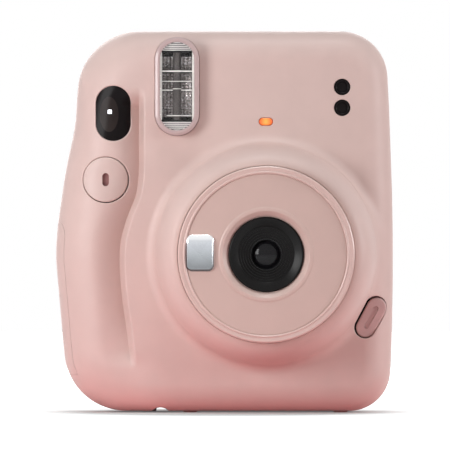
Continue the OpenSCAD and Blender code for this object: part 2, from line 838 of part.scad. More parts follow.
module chassis() {
    color([0.12, 0.12, 0.13])
    difference() {
        union() {
            intersection() {
                difference() {
                    block([chassis_x0, chassis_y, chamber_z - chassis_wall],
                        [chassis_x1, inner_back_y, chassis_top]);
                    block([chamber_x0, chassis_y + chassis_wall, chamber_z],
                        [chamber_x1, gate_y - gate_t, chamber_top]);
                    block([chamber_x0, gate_y, chamber_z], [chamber_x1, inner_back_y + 1, chamber_top]);
                    block([lens_x - gate_w / 2, gate_y - gate_t - 1, lens_z - gate_h / 2],
                        [lens_x + gate_w / 2, gate_y + 1, lens_z + gate_h / 2]);
                }
                outline_form(shell_wall + 0.15, chassis_y - 1, inner_back_y, 0.1, rear_edge_r - shell_wall);
            }
            for (p = board_pegs) {
                rod_y(p[0], p[1], board_y + board_t, chassis_y + 0.5, 2.6);
                rod_y(p[0], p[1], board_y - 0.6, chassis_y, board_peg_r);
            }
            rod_x(idle_y, idle_z, chassis_x0 - 1.2, chassis_x0 + 0.5, 2.4);
        }
        rod_y(lens_x, lens_z, chassis_y - 1, chassis_y + chassis_wall + 1, guide_in - 1.2);
        block([lens_x - film_w / 2 - 1, film_y - 1.1, chamber_top - 1],
            [lens_x + film_w / 2 + 1, film_y + 1.1, chassis_top + 1]);
        rod_x(idle_y, idle_z, chassis_x0 - 2, chamber_x0 + 0.1, motor_shaft_r);
    }
}

module film_door() {
    color([0.85, 0.72, 0.69])
    difference() {
        union() {
            prism_y(door_face_y, back_y)
                round_rect(door_x0, door_z0, door_x1, door_z1, door_corner);
            prism_y(door_face_y, back_y) {
                translate([door_x0, knuckle_a0])
                    square([door_corner, knuckle_b1 - knuckle_a0]);
            }
            for (k = [[knuckle_a0, knuckle_a1], [knuckle_b0, knuckle_b1]]) {
                rod_z(hinge_x, hinge_y, k[0], k[1], hinge_r);
                block([hinge_x, hinge_y - 0.7, k[0]], [door_x0 + 0.5, hinge_y + 0.9, k[1]]);
            }
        }
        for (k = [[knuckle_a0, knuckle_a1], [knuckle_b0, knuckle_b1]])
            rod_z(hinge_x, hinge_y, k[0] - 1, k[1] + 1, hinge_pin_r + run_gap);
        prism_y(door_face_y - 1, back_y + 1)
            translate([lens_x, film_window_z])
                oblong(film_window_w + 2 * window_gap, film_window_h + 2 * window_gap);
        block([latch_x - latch_w / 2 - latch_gap, latch_y - 0.1,
                latch_z - latch_h / 2 - latch_travel - latch_gap],
            [latch_x + latch_w / 2 + latch_gap, back_y + 1, latch_z + latch_h / 2 + latch_gap]);
    }
}

module film_door_window() {
    color([0.75, 0.55, 0.25])
    prism_y(door_face_y + 0.3, back_y - 0.2)
        translate([lens_x, film_window_z])
            oblong(film_window_w, film_window_h);
}

module pack_springs() {
    color([0.75, 0.76, 0.78])
    for (x = [lens_x - spring_dx, lens_x + spring_dx]) {
        block([x - spring_w / 2, door_face_y - spring_lift - spring_t, film_window_z - spring_len / 2],
            [x + spring_w / 2, door_face_y - spring_lift, film_window_z + spring_len / 2]);
        block([x - spring_w / 2, door_face_y - spring_lift, film_window_z - spring_pad / 2],
            [x + spring_w / 2, door_face_y, film_window_z + spring_pad / 2]);
    }
}

module door_latch() {
    color([0.7, 0.57, 0.54])
    difference() {
        block([latch_x - latch_w / 2, latch_y, latch_z - latch_h / 2],
            [latch_x + latch_w / 2, back_y + latch_proud, latch_z + latch_h / 2]);
        for (i = [-2 : 2])
            block([latch_x - latch_w / 2 - 1, back_y, latch_z + i * latch_pitch - 0.5],
                [latch_x + latch_w / 2 + 1, back_y + 1, latch_z + i * latch_pitch + 0.5]);
    }
}

module door_hinge_pin() {
    color([0.78, 0.78, 0.8])
    rod_z(hinge_x, hinge_y, door_z0, door_z1, hinge_pin_r);
}

module battery_door() {
    color([0.85, 0.72, 0.69])
    difference() {
        intersection() {
            union() {
                outline_form(0, valley_y, back_y, split_y - valley_y, rear_edge_r);
                grip_form(0);
            }
            battery_door_zone(0);
        }
        outline_form(shell_wall, valley_y + shell_wall, inner_back_y, 6, rear_edge_r - shell_wall);
        grip_form(shell_wall);
    }
}

module battery_box() {
    color([0.14, 0.14, 0.15])
    difference() {
        union() {
            block([box_x0, box_y0 - box_wall, box_z0 - box_wall],
                [box_x1 + box_wall, box_y1 + box_wall, box_z1 + box_wall]);
            for (z = [box_z0 + 8, box_z1 - 16])
                block([box_x1, cell_y1 - 4, z], [chassis_x0, cell_y1 + 4, z + 1.6]);
            block([button_x - 5, switch_y, box_z1], [button_x + 5, switch_y + 1.6, button_z + 4]);
        }
        block([box_x0 - 1, box_y0, box_z0], [box_x1, box_y1, box_z1]);
    }
}

module battery_cells() {
    color([0.25, 0.3, 0.34])
    for (y = [cell_y0, cell_y1]) {
        rod_z(cell_x, y, cell_z, cell_z + cell_len - cell_tip_h, cell_r);
        rod_z(cell_x, y, cell_z + cell_len - cell_tip_h, cell_z + cell_len, cell_tip_r);
    }
}

module battery_contacts() {
    color([0.8, 0.8, 0.82])
    for (y = [cell_y0, cell_y1]) {
        block([cell_x - 3.4, y - 4, box_z0], [cell_x + 4, y + 4, cell_z - skin]);
        block([cell_x - 3.4, y - 4, cell_z + cell_len + skin], [cell_x + 4, y + 4, box_z1]);
    }
}

module lens_guide_tube() {
    color([0.13, 0.13, 0.14])
    turned_y(lens_x, lens_z)
        translate([guide_in, dome_top_y + shell_wall + 0.2])
            square([guide_wall, chassis_y - dome_top_y - shell_wall - 0.2]);
}

module lens_barrel() {
    color([0.84, 0.71, 0.68])
    turned_y(lens_x, lens_z)
        polygon([[barrel_in, barrel_front_y], [barrel_r, barrel_front_y], [barrel_r, barrel_rear_y],
            [housing_r - 3, barrel_rear_y], [housing_r - 3, web_y], [barrel_in, web_y]]);
}

module close_up_sleeve() {
    lip_r = plate_r - 1.5;
    color([0.84, 0.71, 0.68])
    turned_y(lens_x, lens_z)
        polygon([[lip_r, plate_back_y], [plate_r, plate_back_y], [plate_r, rim_back_y],
            [barrel_r, rim_back_y], [barrel_r, rim_back_y + flange_t], [sleeve_r, rim_back_y + flange_t],
            [sleeve_r, sleeve_rear_y], [sleeve_r - sleeve_wall, sleeve_rear_y],
            [sleeve_r - sleeve_wall, rim_back_y + 1], [lip_r, rim_back_y + 1]]);
}

module lens_face_plate() {
    hole_r = bezel_r + bezel_gap;
    color([0.82, 0.69, 0.66])
    turned_y(lens_x, lens_z)
        polygon([[funnel_r, plate_front_y], [plate_r - 0.3, plate_front_y], [plate_r, plate_front_y + 0.3],
            [plate_r, plate_back_y], [funnel_r + 1, plate_back_y], [hole_r + 0.8, plate_back_y + 1.2],
            [hole_r, plate_back_y + 1.2], [hole_r, plate_back_y + 0.7]]);
}

module lens_clear_rim() {
    in_r = barrel_r - rim_w;
    color([0.9, 0.82, 0.8, 0.5])
    turned_y(lens_x, lens_z)
        polygon([[in_r, rim_back_y], [in_r, y_front + 0.5], [in_r + 0.5, y_front], [barrel_r - 0.9, y_front],
            [barrel_r - 0.25, y_front + 0.3], [barrel_r, y_front + 0.9], [barrel_r, rim_back_y]]);
}

module close_up_mirror() {
    c = 1.5;
    w = mirror_w / 2;
    h = mirror_h / 2;
    color([0.8, 0.8, 0.83])
    prism_y(plate_front_y - mirror_t, plate_front_y)
        translate([lens_x - mirror_arm, lens_z])
            polygon([[c - w, -h], [w - c, -h], [w, c - h], [w, h - c],
                [w - c, h], [c - w, h], [-w, h - c], [-w, c - h]]);
}

module shutter_housing() {
    color([0.1, 0.1, 0.11])
    turned_y(lens_x, lens_z)
        polygon([[lens_bore, housing_y], [housing_r, housing_y], [housing_r, web_y], [rear_bore, web_y],
            [rear_bore, stop_y + 1.5], [aperture_r, stop_y + 1.5], [aperture_r, stop_y],
            [housing_r - 2, stop_y], [housing_r - 2, blade_y], [lens_bore, blade_y]]);
}

module lens_bezel() {
    step_r = (bezel_mouth_r - aperture_r - 0.4) / 3;
    floor_y = housing_y - bezel_floor;
    mouth_y = floor_y - 2 * bezel_step;
    color([0.09, 0.09, 0.1])
    turned_y(lens_x, lens_z)
        polygon([[bezel_r - 0.5, bezel_front_y], [bezel_r, bezel_front_y + 0.4], [bezel_r, housing_y],
            [bezel_mouth_r - 3 * step_r, housing_y], [bezel_mouth_r - 3 * step_r, floor_y],
            [bezel_mouth_r - 2 * step_r, floor_y], [bezel_mouth_r - 2 * step_r, floor_y - bezel_step],
            [bezel_mouth_r - step_r, floor_y - bezel_step], [bezel_mouth_r - step_r, mouth_y],
            [bezel_mouth_r, mouth_y], [bezel_mouth_r, mouth_y - bezel_lip]]);
}

module front_lens() {
    bulge = 1;
    ball_r = (front_lens_r ^ 2 + bulge ^ 2) / (2 * bulge);
    color([0.55, 0.6, 0.68, 0.5])
    turned_y(lens_x, lens_z)
        polygon(concat([for (i = [0 : 8]) [front_lens_r * i / 8,
            housing_y + 0.6 + ball_r - sqrt(ball_r ^ 2 - (front_lens_r * i / 8) ^ 2)]],
            [[front_lens_r, housing_y + front_lens_t], [0, housing_y + front_lens_t]]));
}

module rear_lens() {
    bulge = 0.8;
    ball_r = (rear_lens_r ^ 2 + bulge ^ 2) / (2 * bulge);
    back = web_y - 4;
    color([0.55, 0.6, 0.68, 0.5])
    turned_y(lens_x, lens_z)
        polygon(concat([[0, back - 2.6], [rear_lens_r, back - 2.6]],
            [for (i = [8 : -1 : 0]) [rear_lens_r * i / 8,
                back - ball_r + sqrt(ball_r ^ 2 - (rear_lens_r * i / 8) ^ 2)]]));
}

// One shutter blade, closed over its half of the aperture, on the blade pin
module blade(y, side) {
    lap = 0.6;
    difference() {
        prism_y(y, y + blade_t)
            translate([lens_x, lens_z])
                mirror([0, side]) {
                    intersection() {
                        circle(aperture_r + 1.3);
                        translate([-aperture_r - 2, -lap])
                            square([2 * aperture_r + 4, aperture_r + 3]);
                    }
                    translate([-blade_arm, 0])
                        circle(blade_pin_r + 1);
                    translate([-blade_arm, -lap])
                        square([blade_arm, 2.4]);
                }
        rod_y(blade_pin_x, lens_z, y - 1, y + 1, blade_pin_r + run_gap);
    }
}

module shutter_blade_upper() {
    color([0.16, 0.16, 0.17])
    blade(blade_y + 0.4, 0);
}

module shutter_blade_lower() {
    color([0.16, 0.16, 0.17])
    blade(blade_y + blade_room - 0.4 - blade_t, 1);
}

module blade_pin() {
    color([0.75, 0.76, 0.78])
    rod_y(blade_pin_x, lens_z, blade_y, stop_y, blade_pin_r);
}

module flash_window() {
    color([0.9, 0.9, 0.92, 0.5])
    difference() {
        prism_y(front_y - flash_proud, front_y + 5.5)
            translate([flash_x, flash_z])
                oblong(flash_w, flash_h);
        prism_y(front_y - flash_proud + flash_wall + 0.6, front_y + 6)
            translate([flash_x, flash_z])
                oblong(flash_w - 2 * flash_wall, flash_h - 2 * flash_wall);
    }
}

module flash_reflector() {
    side = 0.7;
    end = 0.8;
    z0 = flash_z - reflector_h / 2;
    z1 = flash_z + reflector_h / 2;
    color([0.82, 0.83, 0.85])
    difference() {
        block([flash_x - reflector_w / 2, reflector_y, z0], [flash_x + reflector_w / 2, board_y, z1]);
        rod_z(flash_x, reflector_y, z0 + end, z1 - end, reflector_w / 2 - side);
        rod_z(flash_x, tube_y, z0 - 1, z1 + 1, tube_r);
    }
}

module flash_tube() {
    tip = 0.6;
    color([0.9, 0.92, 0.94, 0.6])
    rod_z(flash_x, tube_y, flash_z - reflector_h / 2 - tip, flash_z + reflector_h / 2 + tip, tube_r);
}

module flash_capacitor() {
    color([0.1, 0.1, 0.12])
    rod_x(chassis_y - cap_r - skin, foot_h + shell_wall + cap_r + cap_up,
        lens_x - cap_len / 2, lens_x + cap_len / 2, cap_r);
}

module viewfinder_window() {
    color([0.06, 0.06, 0.07])
    prism_y(finder_surf_y + 0.6, finder_surf_y + 2)
        translate([finder_x, finder_z])
            oblong(finder_w, finder_h);
}

module viewfinder_tube() {
    wide = finder_w - 0.4;
    tall = finder_h - 0.4;
    narrow = finder_w - 2.3;
    low = finder_h - 3.8;
    step_y = split_y + 2;
    color([0.1, 0.1, 0.11])
    difference() {
        union() {
            prism_y(finder_surf_y + 2, step_y)
                translate([finder_x, finder_z])
                    oblong(wide, tall);
            prism_y(step_y - 0.5, inner_back_y)
                translate([finder_x, finder_z])
                    oblong(narrow, low);
        }
        prism_y(finder_surf_y + 1, step_y - finder_wall)
            translate([finder_x, finder_z])
                oblong(wide - 2 * finder_wall, tall - 2 * finder_wall);
        prism_y(step_y - 2, inner_back_y + 1)
            translate([finder_x, finder_z])
                oblong(narrow - 2 * finder_wall, low - 2 * finder_wall);
    }
}

module viewfinder_objective() {
    color([0.6, 0.66, 0.72, 0.5])
    prism_y(finder_surf_y + 5, finder_surf_y + 7)
        translate([finder_x, finder_z])
            oblong(finder_w - 0.5 - 2 * finder_wall, finder_h - 0.5 - 2 * finder_wall);
}

module eyepiece_frame() {
    color([0.1, 0.1, 0.11])
    difference() {
        union() {
            prism_y(back_y, y_back)
                translate([finder_x, finder_z])
                    oblong(finder_w + eye_rim, finder_h - 3 + eye_rim);
            prism_y(inner_back_y, back_y + 0.5)
                translate([finder_x, finder_z])
                    oblong(finder_w - 2 - 2 * window_gap, finder_h - 5 - 2 * window_gap);
        }
        prism_y(inner_back_y - 1, y_back + 1)
            translate([finder_x, finder_z])
                oblong(finder_w - 4.2, finder_h - 7.2);
    }
}

module eyepiece_lens() {
    color([0.6, 0.66, 0.72, 0.5])
    prism_y(back_y - 2, back_y - 0.4)
        translate([finder_x, finder_z])
            oblong(finder_w - 4.2 - 2 * skin, finder_h - 7.2 - 2 * skin);
}

module shutter_button() {
    color([0.87, 0.75, 0.72])
    difference() {
        union() {
            intersection() {
                rod_y(button_x, button_z, front_y, front_y + button_cap_t, button_r);
                grip_form(0);
            }
            rod_y(button_x, button_z, front_y + button_cap_t - 1, button_stem_y, button_stem_r);
        }
        prism_y(front_y - 1, front_y + grip_back + 0.9)
            translate([button_x, button_z])
                oblong(2, 4.2);
    }
}

module shutter_switch() {
    color([0.2, 0.2, 0.22])
    block([button_x - switch_w / 2, switch_y - switch_t, button_z - switch_w / 2],
        [button_x + switch_w / 2, switch_y, button_z + switch_w / 2]);
}

module power_button() {
    stem_y = chassis_y - power_switch_t - power_travel - press_gap;
    color([0.68, 0.53, 0.5])
    difference() {
        union() {
            prism_y(power_face_y, power_face_y + 3.2)
                power_spot()
                    oblong(power_w, power_len);
            prism_y(power_face_y + 3, stem_y)
                power_spot()
                    translate([-1.2, 0])
                        circle(1.6);
        }
        prism_y(power_face_y - 1, power_face_y + 0.5)
            power_spot()
                oblong(1.5, 8);
    }
}

module power_switch() {
    color([0.2, 0.2, 0.22])
    block([power_x - switch_w + 0.4, chassis_y - power_switch_t, power_z - switch_w / 2],
        [min(power_x + 0.4, chassis_x1), chassis_y, power_z + switch_w / 2]);
}

module ready_lamp() {
    color([0.95, 0.5, 0.2])
    prism_y(front_y - 0.3, board_y)
        translate([lens_x, lamp_z])
            rotate(90)
                oblong(lamp_h, lamp_w);
}

module light_sensors() {
    color([0.06, 0.06, 0.07])
    for (z = [sensor_z, sensor_z - sensor_step])
        rod_y(sensor_x, z, front_y - 0.1, board_y, sensor_r);
}

module circuit_board() {
    color([0.1, 0.32, 0.2])
    difference() {
        block([chassis_x0, board_y, lens_z + guide_r + board_low],
            [sensor_x + sensor_r + board_side, board_y + board_t, body_h - board_drop]);
        for (p = board_pegs)
            rod_y(p[0], p[1], board_y - 1, board_y + board_t + 1, board_peg_r + window_gap);
    }
}

module film_counter_dial() {
    color([0.92, 0.92, 0.9])
    difference() {
        union() {
            rod_y(counter_x, counter_z, counter_y - 0.4, counter_y + 0.8, counter_r);
            rod_y(counter_x, counter_z, counter_y - 1.6, counter_y, 3);
        }
        rod_y(counter_x, counter_z, counter_y - 3, counter_y + 3, counter_stud_r + run_gap);
    }
}

module film_counter_window() {
    color([0.8, 0.84, 0.86, 0.5])
    rod_y(counter_window_x, counter_z, inner_back_y, back_y - 0.3, counter_window_r);
}

module roller_frame() {
    color([0.16, 0.16, 0.17])
    difference() {
        union() {
            for (x = [cheek_x0, cheek_x1])
                block([x, roller_y0 - cheek_reach, chassis_top],
                    [x + cheek_t, roller_y1 + cheek_reach, roller_z + cheek_over]);
            block([cheek_x0, roller_y0 - cheek_reach, chassis_top],
                [cheek_x1 + cheek_t, roller_y0 - cheek_reach + 1.2, chassis_top + 1]);
        }
        for (y = [roller_y0, roller_y1])
            rod_x(y, roller_z, cheek_x0 - 1, cheek_x1 + cheek_t + 1, shaft_r + run_gap);
    }
}

module front_roller() {
    color([0.7, 0.71, 0.73])
    union() {
        rod_x(roller_y0, roller_z, roller_x0, roller_x1, roller_r);
        rod_x(roller_y0, roller_z, gear_b_x, cheek_x1 + cheek_t - 0.1, shaft_r);
    }
}

module rear_roller() {
    color([0.7, 0.71, 0.73])
    union() {
        rod_x(roller_y1, roller_z, roller_x0, roller_x1, roller_r);
        rod_x(roller_y1, roller_z, gear_a_x, cheek_x1 + cheek_t - 0.1, shaft_r);
    }
}

module front_roller_gear() {
    color([0.85, 0.84, 0.8])
    union() {
        gear_x(gear_a_x, roller_y0, roller_z, roller_gear_m, roller_teeth, 0, gear_t, shaft_r);
        gear_x(gear_b_x, roller_y0, roller_z, gear_m, drive_teeth, idle_dir + 180 / drive_teeth,
            gear_t, shaft_r);
        translate([gear_b_x + gear_t, roller_y0, roller_z])
            rotate([0, 90, 0])
                difference() {
                    cylinder(h = gear_gap, r = gear_hub_r);
                    translate([0, 0, -1])
                        cylinder(h = gear_gap + 2, r = shaft_r);
                }
    }
}

module rear_roller_gear() {
    color([0.85, 0.84, 0.8])
    gear_x(gear_a_x, roller_y1, roller_z, roller_gear_m, roller_teeth, 180 + 180 / roller_teeth,
        gear_t, shaft_r);
}

module reduction_gear() {
    color([0.85, 0.84, 0.8])
    union() {
        gear_x(gear_b_x, idle_y, idle_z, gear_m, small_teeth, idle_dir + 180,
            gear_t, motor_shaft_r + run_gap);
        gear_x(gear_c_x, idle_y, idle_z, gear_m, wheel_teeth, pinion_dir + 180 + 180 / wheel_teeth,
            gear_t, motor_shaft_r + run_gap);
        translate([gear_c_x + gear_t, idle_y, idle_z])
            rotate([0, 90, 0])
                difference() {
                    cylinder(h = gear_gap, r = gear_hub_r);
                    translate([0, 0, -1])
                        cylinder(h = gear_gap + 2, r = motor_shaft_r + run_gap);
                }
    }
}

module gear_axle() {
    color([0.75, 0.76, 0.78])
    rod_x(idle_y, idle_z, gear_c_x - 0.5, chamber_x0, motor_shaft_r);
}

module motor() {
    color([0.75, 0.76, 0.78])
    rod_x(motor_y, motor_z, motor_x0, motor_x0 + motor_len, motor_r);
}

module motor_pinion() {
    color([0.8, 0.66, 0.35])
    union() {
        gear_x(gear_c_x, motor_y, motor_z, gear_m, pinion_teeth, pinion_dir, gear_t, motor_shaft_r);
        rod_x(motor_y, motor_z, gear_c_x, motor_x0, motor_shaft_r);
    }
}

module strap_bar() {
    color([0.78, 0.78, 0.8])
    rod_z(strap_x, strap_y, strap_z - strap_bar_h / 2 - 1, strap_z + strap_bar_h / 2 + 1, strap_bar_r);
}

module feet() {
    color([0.2, 0.2, 0.21])
    for (p = foot_spots)
        rod_z(p[0], p[1], 0, foot_h + foot_seat, foot_r);
}

module case_screws() {
    color([0.7, 0.7, 0.72])
    for (p = screw_spots)
        union() {
            rod_y(p[0], p[1], screw_seat_y, screw_seat_y + screw_head_h, screw_head_r);
            rod_y(p[0], p[1], screw_tip_y, screw_seat_y + 0.5, screw_r);
        }
}

front_shell();
rear_shell();
chassis();
film_door();
film_door_window();
pack_springs();
door_latch();
door_hinge_pin();
battery_door();
battery_box();
battery_cells();
battery_contacts();
lens_guide_tube();
lens_barrel();
close_up_sleeve();
lens_face_plate();
lens_clear_rim();
close_up_mirror();
shutter_housing();
lens_bezel();
front_lens();
rear_lens();
shutter_blade_upper();
shutter_blade_lower();
blade_pin();
flash_window();
flash_reflector();
flash_tube();
flash_capacitor();
viewfinder_window();
viewfinder_tube();
viewfinder_objective();
eyepiece_frame();
eyepiece_lens();
shutter_button();
shutter_switch();
power_button();
power_switch();
ready_lamp();
light_sensors();
circuit_board();
film_counter_dial();
film_counter_window();
roller_frame();
front_roller();
rear_roller();
front_roller_gear();
rear_roller_gear();
reduction_gear();
gear_axle();
motor();
motor_pinion();
strap_bar();
feet();
case_screws();
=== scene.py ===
"""Looks of the instant camera: smooth shells, lens, windows, buttons, finishes, light and camera.

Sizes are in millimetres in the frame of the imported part: X to the viewer's right, the front looks
along -Y, Z up. MM turns them into metres when a mesh is made. The lamps and the floor are in metres.
"""

import json
import math

import bmesh
import bpy
import numpy as np
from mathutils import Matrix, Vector


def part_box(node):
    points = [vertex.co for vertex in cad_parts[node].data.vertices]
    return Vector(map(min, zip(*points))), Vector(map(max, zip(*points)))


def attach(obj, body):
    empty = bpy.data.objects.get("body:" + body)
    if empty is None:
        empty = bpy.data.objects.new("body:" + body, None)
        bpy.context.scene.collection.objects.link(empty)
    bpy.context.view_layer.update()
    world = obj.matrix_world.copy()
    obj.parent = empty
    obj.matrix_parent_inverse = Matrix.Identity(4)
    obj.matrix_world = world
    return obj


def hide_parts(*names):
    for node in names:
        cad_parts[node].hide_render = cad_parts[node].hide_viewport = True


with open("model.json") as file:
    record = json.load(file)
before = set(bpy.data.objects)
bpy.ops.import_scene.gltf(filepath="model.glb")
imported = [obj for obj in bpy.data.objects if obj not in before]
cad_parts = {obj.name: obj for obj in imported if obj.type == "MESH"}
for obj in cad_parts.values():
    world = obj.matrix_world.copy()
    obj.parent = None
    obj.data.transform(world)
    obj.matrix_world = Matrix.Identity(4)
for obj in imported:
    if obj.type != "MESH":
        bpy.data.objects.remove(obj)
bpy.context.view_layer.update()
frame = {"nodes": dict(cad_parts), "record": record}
MM = 0.001


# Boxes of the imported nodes

def box_mm(node):
    """Lowest and highest corner of a node, in millimetres."""
    low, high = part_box(node)
    return np.array(low) / MM, np.array(high) / MM


def middle(node):
    """Middle of a node's box, in millimetres."""
    low, high = box_mm(node)
    return (low + high) / 2


def size_of(node):
    """Size of a node's box, in millimetres."""
    low, high = box_mm(node)
    return high - low


def front_size(node):
    """Width and height of a node's box, as seen from the front."""
    return size_of(node)[[0, 2]]


REAR_LOW, REAR_HIGH = box_mm("rear_shell")
LEFT, RIGHT = REAR_LOW[0], REAR_HIGH[0]
BASE, TOP = REAR_LOW[2], REAR_HIGH[2]
SPLIT_Y, BACK_Y = REAR_LOW[1], REAR_HIGH[1]
DOME_Y = box_mm("front_shell")[0][1]
LENS_X, LENS_Z = middle("lens_barrel")[[0, 2]]
AXIS = np.array([LENS_X, LENS_Z])

# Body
WALL = 2.0
DOME_H = 16.2
FRONT_Y = DOME_Y + DOME_H
EDGE_R = 9.0
REAR_EDGE_R = 6.0
INNER_BACK_Y = 35.5
GRIP_R = 14.0
VALLEY_DROP = 4.5
VALLEY_W = 9.5
# The valley runs out at the bottom: from which height, and over what height
VALLEY_START, VALLEY_START_H = 8.0, 24.0
# Its depth grows from half to full: from which height, and over what height
VALLEY_DEEPEN, VALLEY_DEEPEN_H = 5.0, 45.0
# The step runs out above and below these heights, and over what height
FADE_TOP, FADE_LOW, FADE_H = 97.0, 20.0, 6.0
STEP_W = 2.0
END_W = 24.0
# Left edge of the raised front block: height and X
STEP_LINE = np.array([
    [0, -28.4], [14, -28.6], [27, -30.2], [38, -31.7], [47, -32.3], [54, -32.0], [62, -29.9],
    [69, -27.2], [75, -26.3], [86, -26.2], [121, -26.3],
])
BORE_R = 28.05
BORE_EDGE = 0.2
CREST_R = 28.5
DOME_R = 35.2
DOME_FILLET = 3.2
SPOKES = 512
BOW_DISC_R = 14.0
# The left side is drawn in over the grip: how far, height of the middle, half height, and up to which X
WAIST, WAIST_Z, WAIST_H, WAIST_X = 1.0, 91.0, 10.0, -41.5


def bow(edge, inward, z, radius, first, last):
    """Discs along a bowed side of the body: its outermost X, bow radius and first and last angle."""
    arm = radius - BOW_DISC_R
    discs = []
    for a in np.radians(np.linspace(first, last, 9)):
        discs.append([edge + inward * (radius - arm * math.cos(a)), z + arm * math.sin(a), BOW_DISC_R])
    return discs


# Discs whose hull is the outline of the body: X, Z and radius
DISCS = np.array([
    *bow(LEFT, 1, 50.0, 80.0, -1, 12),
    *bow(RIGHT, -1, 49.0, 800.0, -2, 2.6),
    [LEFT + 26.7, TOP - 20, 20],
    [RIGHT - 16.7, TOP - 15, 15],
    [RIGHT - 13.8, BASE + 13, 13],
    [LEFT + 22.2, BASE + 19.6, 19.6],
])


# Mesh tools

def placed(name, data):
    """Object in the scene that shows a mesh, a lamp or a camera."""
    obj = bpy.data.objects.new(name, data)
    bpy.context.scene.collection.objects.link(obj)
    return obj


def make(name, points, faces):
    """Mesh object from points in millimetres, its faces turned outwards."""
    mesh = bpy.data.meshes.new(name)
    mesh.from_pydata((np.asarray(points, float) * MM).tolist(), [], faces)
    mesh.update()
    shape = bmesh.new()
    shape.from_mesh(mesh)
    bmesh.ops.recalc_face_normals(shape, faces=shape.faces)
    shape.to_mesh(mesh)
    shape.free()
    return placed(name, mesh)


def loft(name, rings, loop=False):
    """Closed mesh through rings of equally many points. Without loop, the first and last are filled."""
    rings = np.asarray(rings, float)
    count, n = rings.shape[:2]
    i = np.arange(n)
    j = np.roll(i, -1)
    quads = []
    for k in range(count if loop else count - 1):
        a = k * n
        b = (k + 1) % count * n
        quads.append(np.stack([a + i, a + j, b + j, b + i], 1))
    faces = np.concatenate(quads).tolist()
    points = rings.reshape(-1, 3)
    if not loop:
        for start in (0, (count - 1) * n):
            centre = len(points)
            points = np.vstack([points, points[start:start + n].mean(0)])
            faces += [(start + a, start + b, centre) for a, b in zip(i, j)]
    return make(name, points, faces)


def turned(name, profile, x, across, loop=False, upright=False, n=160):
    """Solid of revolution from (radius, height) points, round an axis along Y, or along Z if upright."""
    a = np.linspace(0, 2 * np.pi, n, endpoint=False)
    rings = []
    for r, h in profile:
        u = x + r * np.cos(a)
        v = across + r * np.sin(a)
        flat = np.full(n, h)
        rings.append(np.stack([u, v, flat] if upright else [u, flat, v], 1))
    return loft(name, rings, loop)


def rounded(corners, steps=5):
    """Closed outline from (u, v, radius) corners, each corner an arc."""
    out = []
    for k, (u, v, r) in enumerate(corners):
        p = np.array([u, v], float)
        if r <= 0:
            out.append(p)
            continue
        a = np.array(corners[k - 1][:2]) - p
        b = np.array(corners[(k + 1) % len(corners)][:2]) - p
        la, lb = np.linalg.norm(a), np.linalg.norm(b)
        a, b = a / la, b / lb
        half = math.acos(np.clip(a @ b, -1, 1)) / 2
        cut = min(r / math.tan(half), 0.48 * la, 0.48 * lb)
        centre = p + (a + b) / np.linalg.norm(a + b) * cut / math.cos(half)
        start, end = p + a * cut - centre, p + b * cut - centre
        first = math.atan2(start[1], start[0])
        sweep = (math.atan2(end[1], end[0]) - first + np.pi) % (2 * np.pi) - np.pi
        radius = np.linalg.norm(start)
        for t in np.linspace(first, first + sweep, steps + 1):
            out.append(centre + radius * np.array([math.cos(t), math.sin(t)]))
    return np.array(out)


def rim(w, h, r, n=96):
    """Rectangle with round corners round the origin, as points. With r half the width it is an oblong."""
    r = max(r, 0.01)
    a = np.linspace(0, np.pi / 2, n // 4)
    out = []
    for k, (sx, sz) in enumerate(((1, 1), (-1, 1), (-1, -1), (1, -1))):
        turn = a + k * np.pi / 2
        out.append(np.stack([sx * (w / 2 - r) + r * np.cos(turn), sz * (h / 2 - r) + r * np.sin(turn)], 1))
    return np.concatenate(out)


def rim_at(x, z, w, h, r, turn=0.0, n=96, shift=(0.0, 0.0)):
    """X and Z of a rectangle with round corners: shifted, turned by an angle in degrees, set at (x, z)."""
    c, s = math.cos(math.radians(turn)), math.sin(math.radians(turn))
    u, v = (rim(w, h, r, n) + shift).T
    return x + c * u - s * v, z + s * u + c * v


def edge_sections(w, h, r, y0, y1, e0, e1=0.0, crown=0.0):
    """Sections (w, h, r, y) of a plate from its face at y0 to its back at y1, with round edges."""
    way = 1 if y1 > y0 else -1
    out = []
    if crown:
        for s in (0.1, 0.25, 0.4, 0.55, 0.7, 0.85, 0.95):
            out.append(((w - 2 * e0) * s, (h - 2 * e0) * s, (r - e0) * s, y0 - way * crown * (1 - s * s)))
    for a in np.linspace(0, np.pi / 2, 7 if e0 else 1):
        i = e0 * (1 - math.sin(a))
        out.append((w - 2 * i, h - 2 * i, r - i, y0 + way * e0 * (1 - math.cos(a))))
    for a in np.linspace(0, np.pi / 2, 5 if e1 else 1):
        i = e1 * (1 - math.cos(a))
        out.append((w - 2 * i, h - 2 * i, r - i, y1 - way * e1 * (1 - math.sin(a))))
    return out


def oblongs(w, h, *ys):
    """Equal upright oblong sections at several places along Y."""
    return [(w, h, w / 2, y) for y in ys]


def inset_sections(w, h, r, profile):
    """Sections of an outline drawn in by the insets of an (inset, y) profile."""
    return [(w - 2 * i, h - 2 * i, r - i, y) for i, y in profile]


def slab(name, x, z, sections, turn=0.0, loop=False, n=96):
    """Plate lofted through (w, h, r, y, shift) sections round (x, z), turned by an angle in degrees."""
    rings = []
    for w, h, r, y, *shift in sections:
        px, pz = rim_at(x, z, w, h, r, turn, n, shift or (0.0, 0.0))
        rings.append(np.stack([px, np.full(len(px), y), pz], 1))
    return loft(name, rings, loop)


def block(name, low, high, r=0.0):
    """Box between two corners, with its edges along Y rounded by r."""
    low, high = np.array(low, float), np.array(high, float)
    size, mid = high - low, (low + high) / 2
    sections = [(size[0], size[2], r, low[1]), (size[0], size[2], r, high[1])]
    return slab(name, mid[0], mid[2], sections, n=48 if r else 4)


def rod(name, x, z, y0, y1, r):
    """Round bar along Y."""
    return turned(name, [(r, y0), (r, y1)], x, z, n=96)


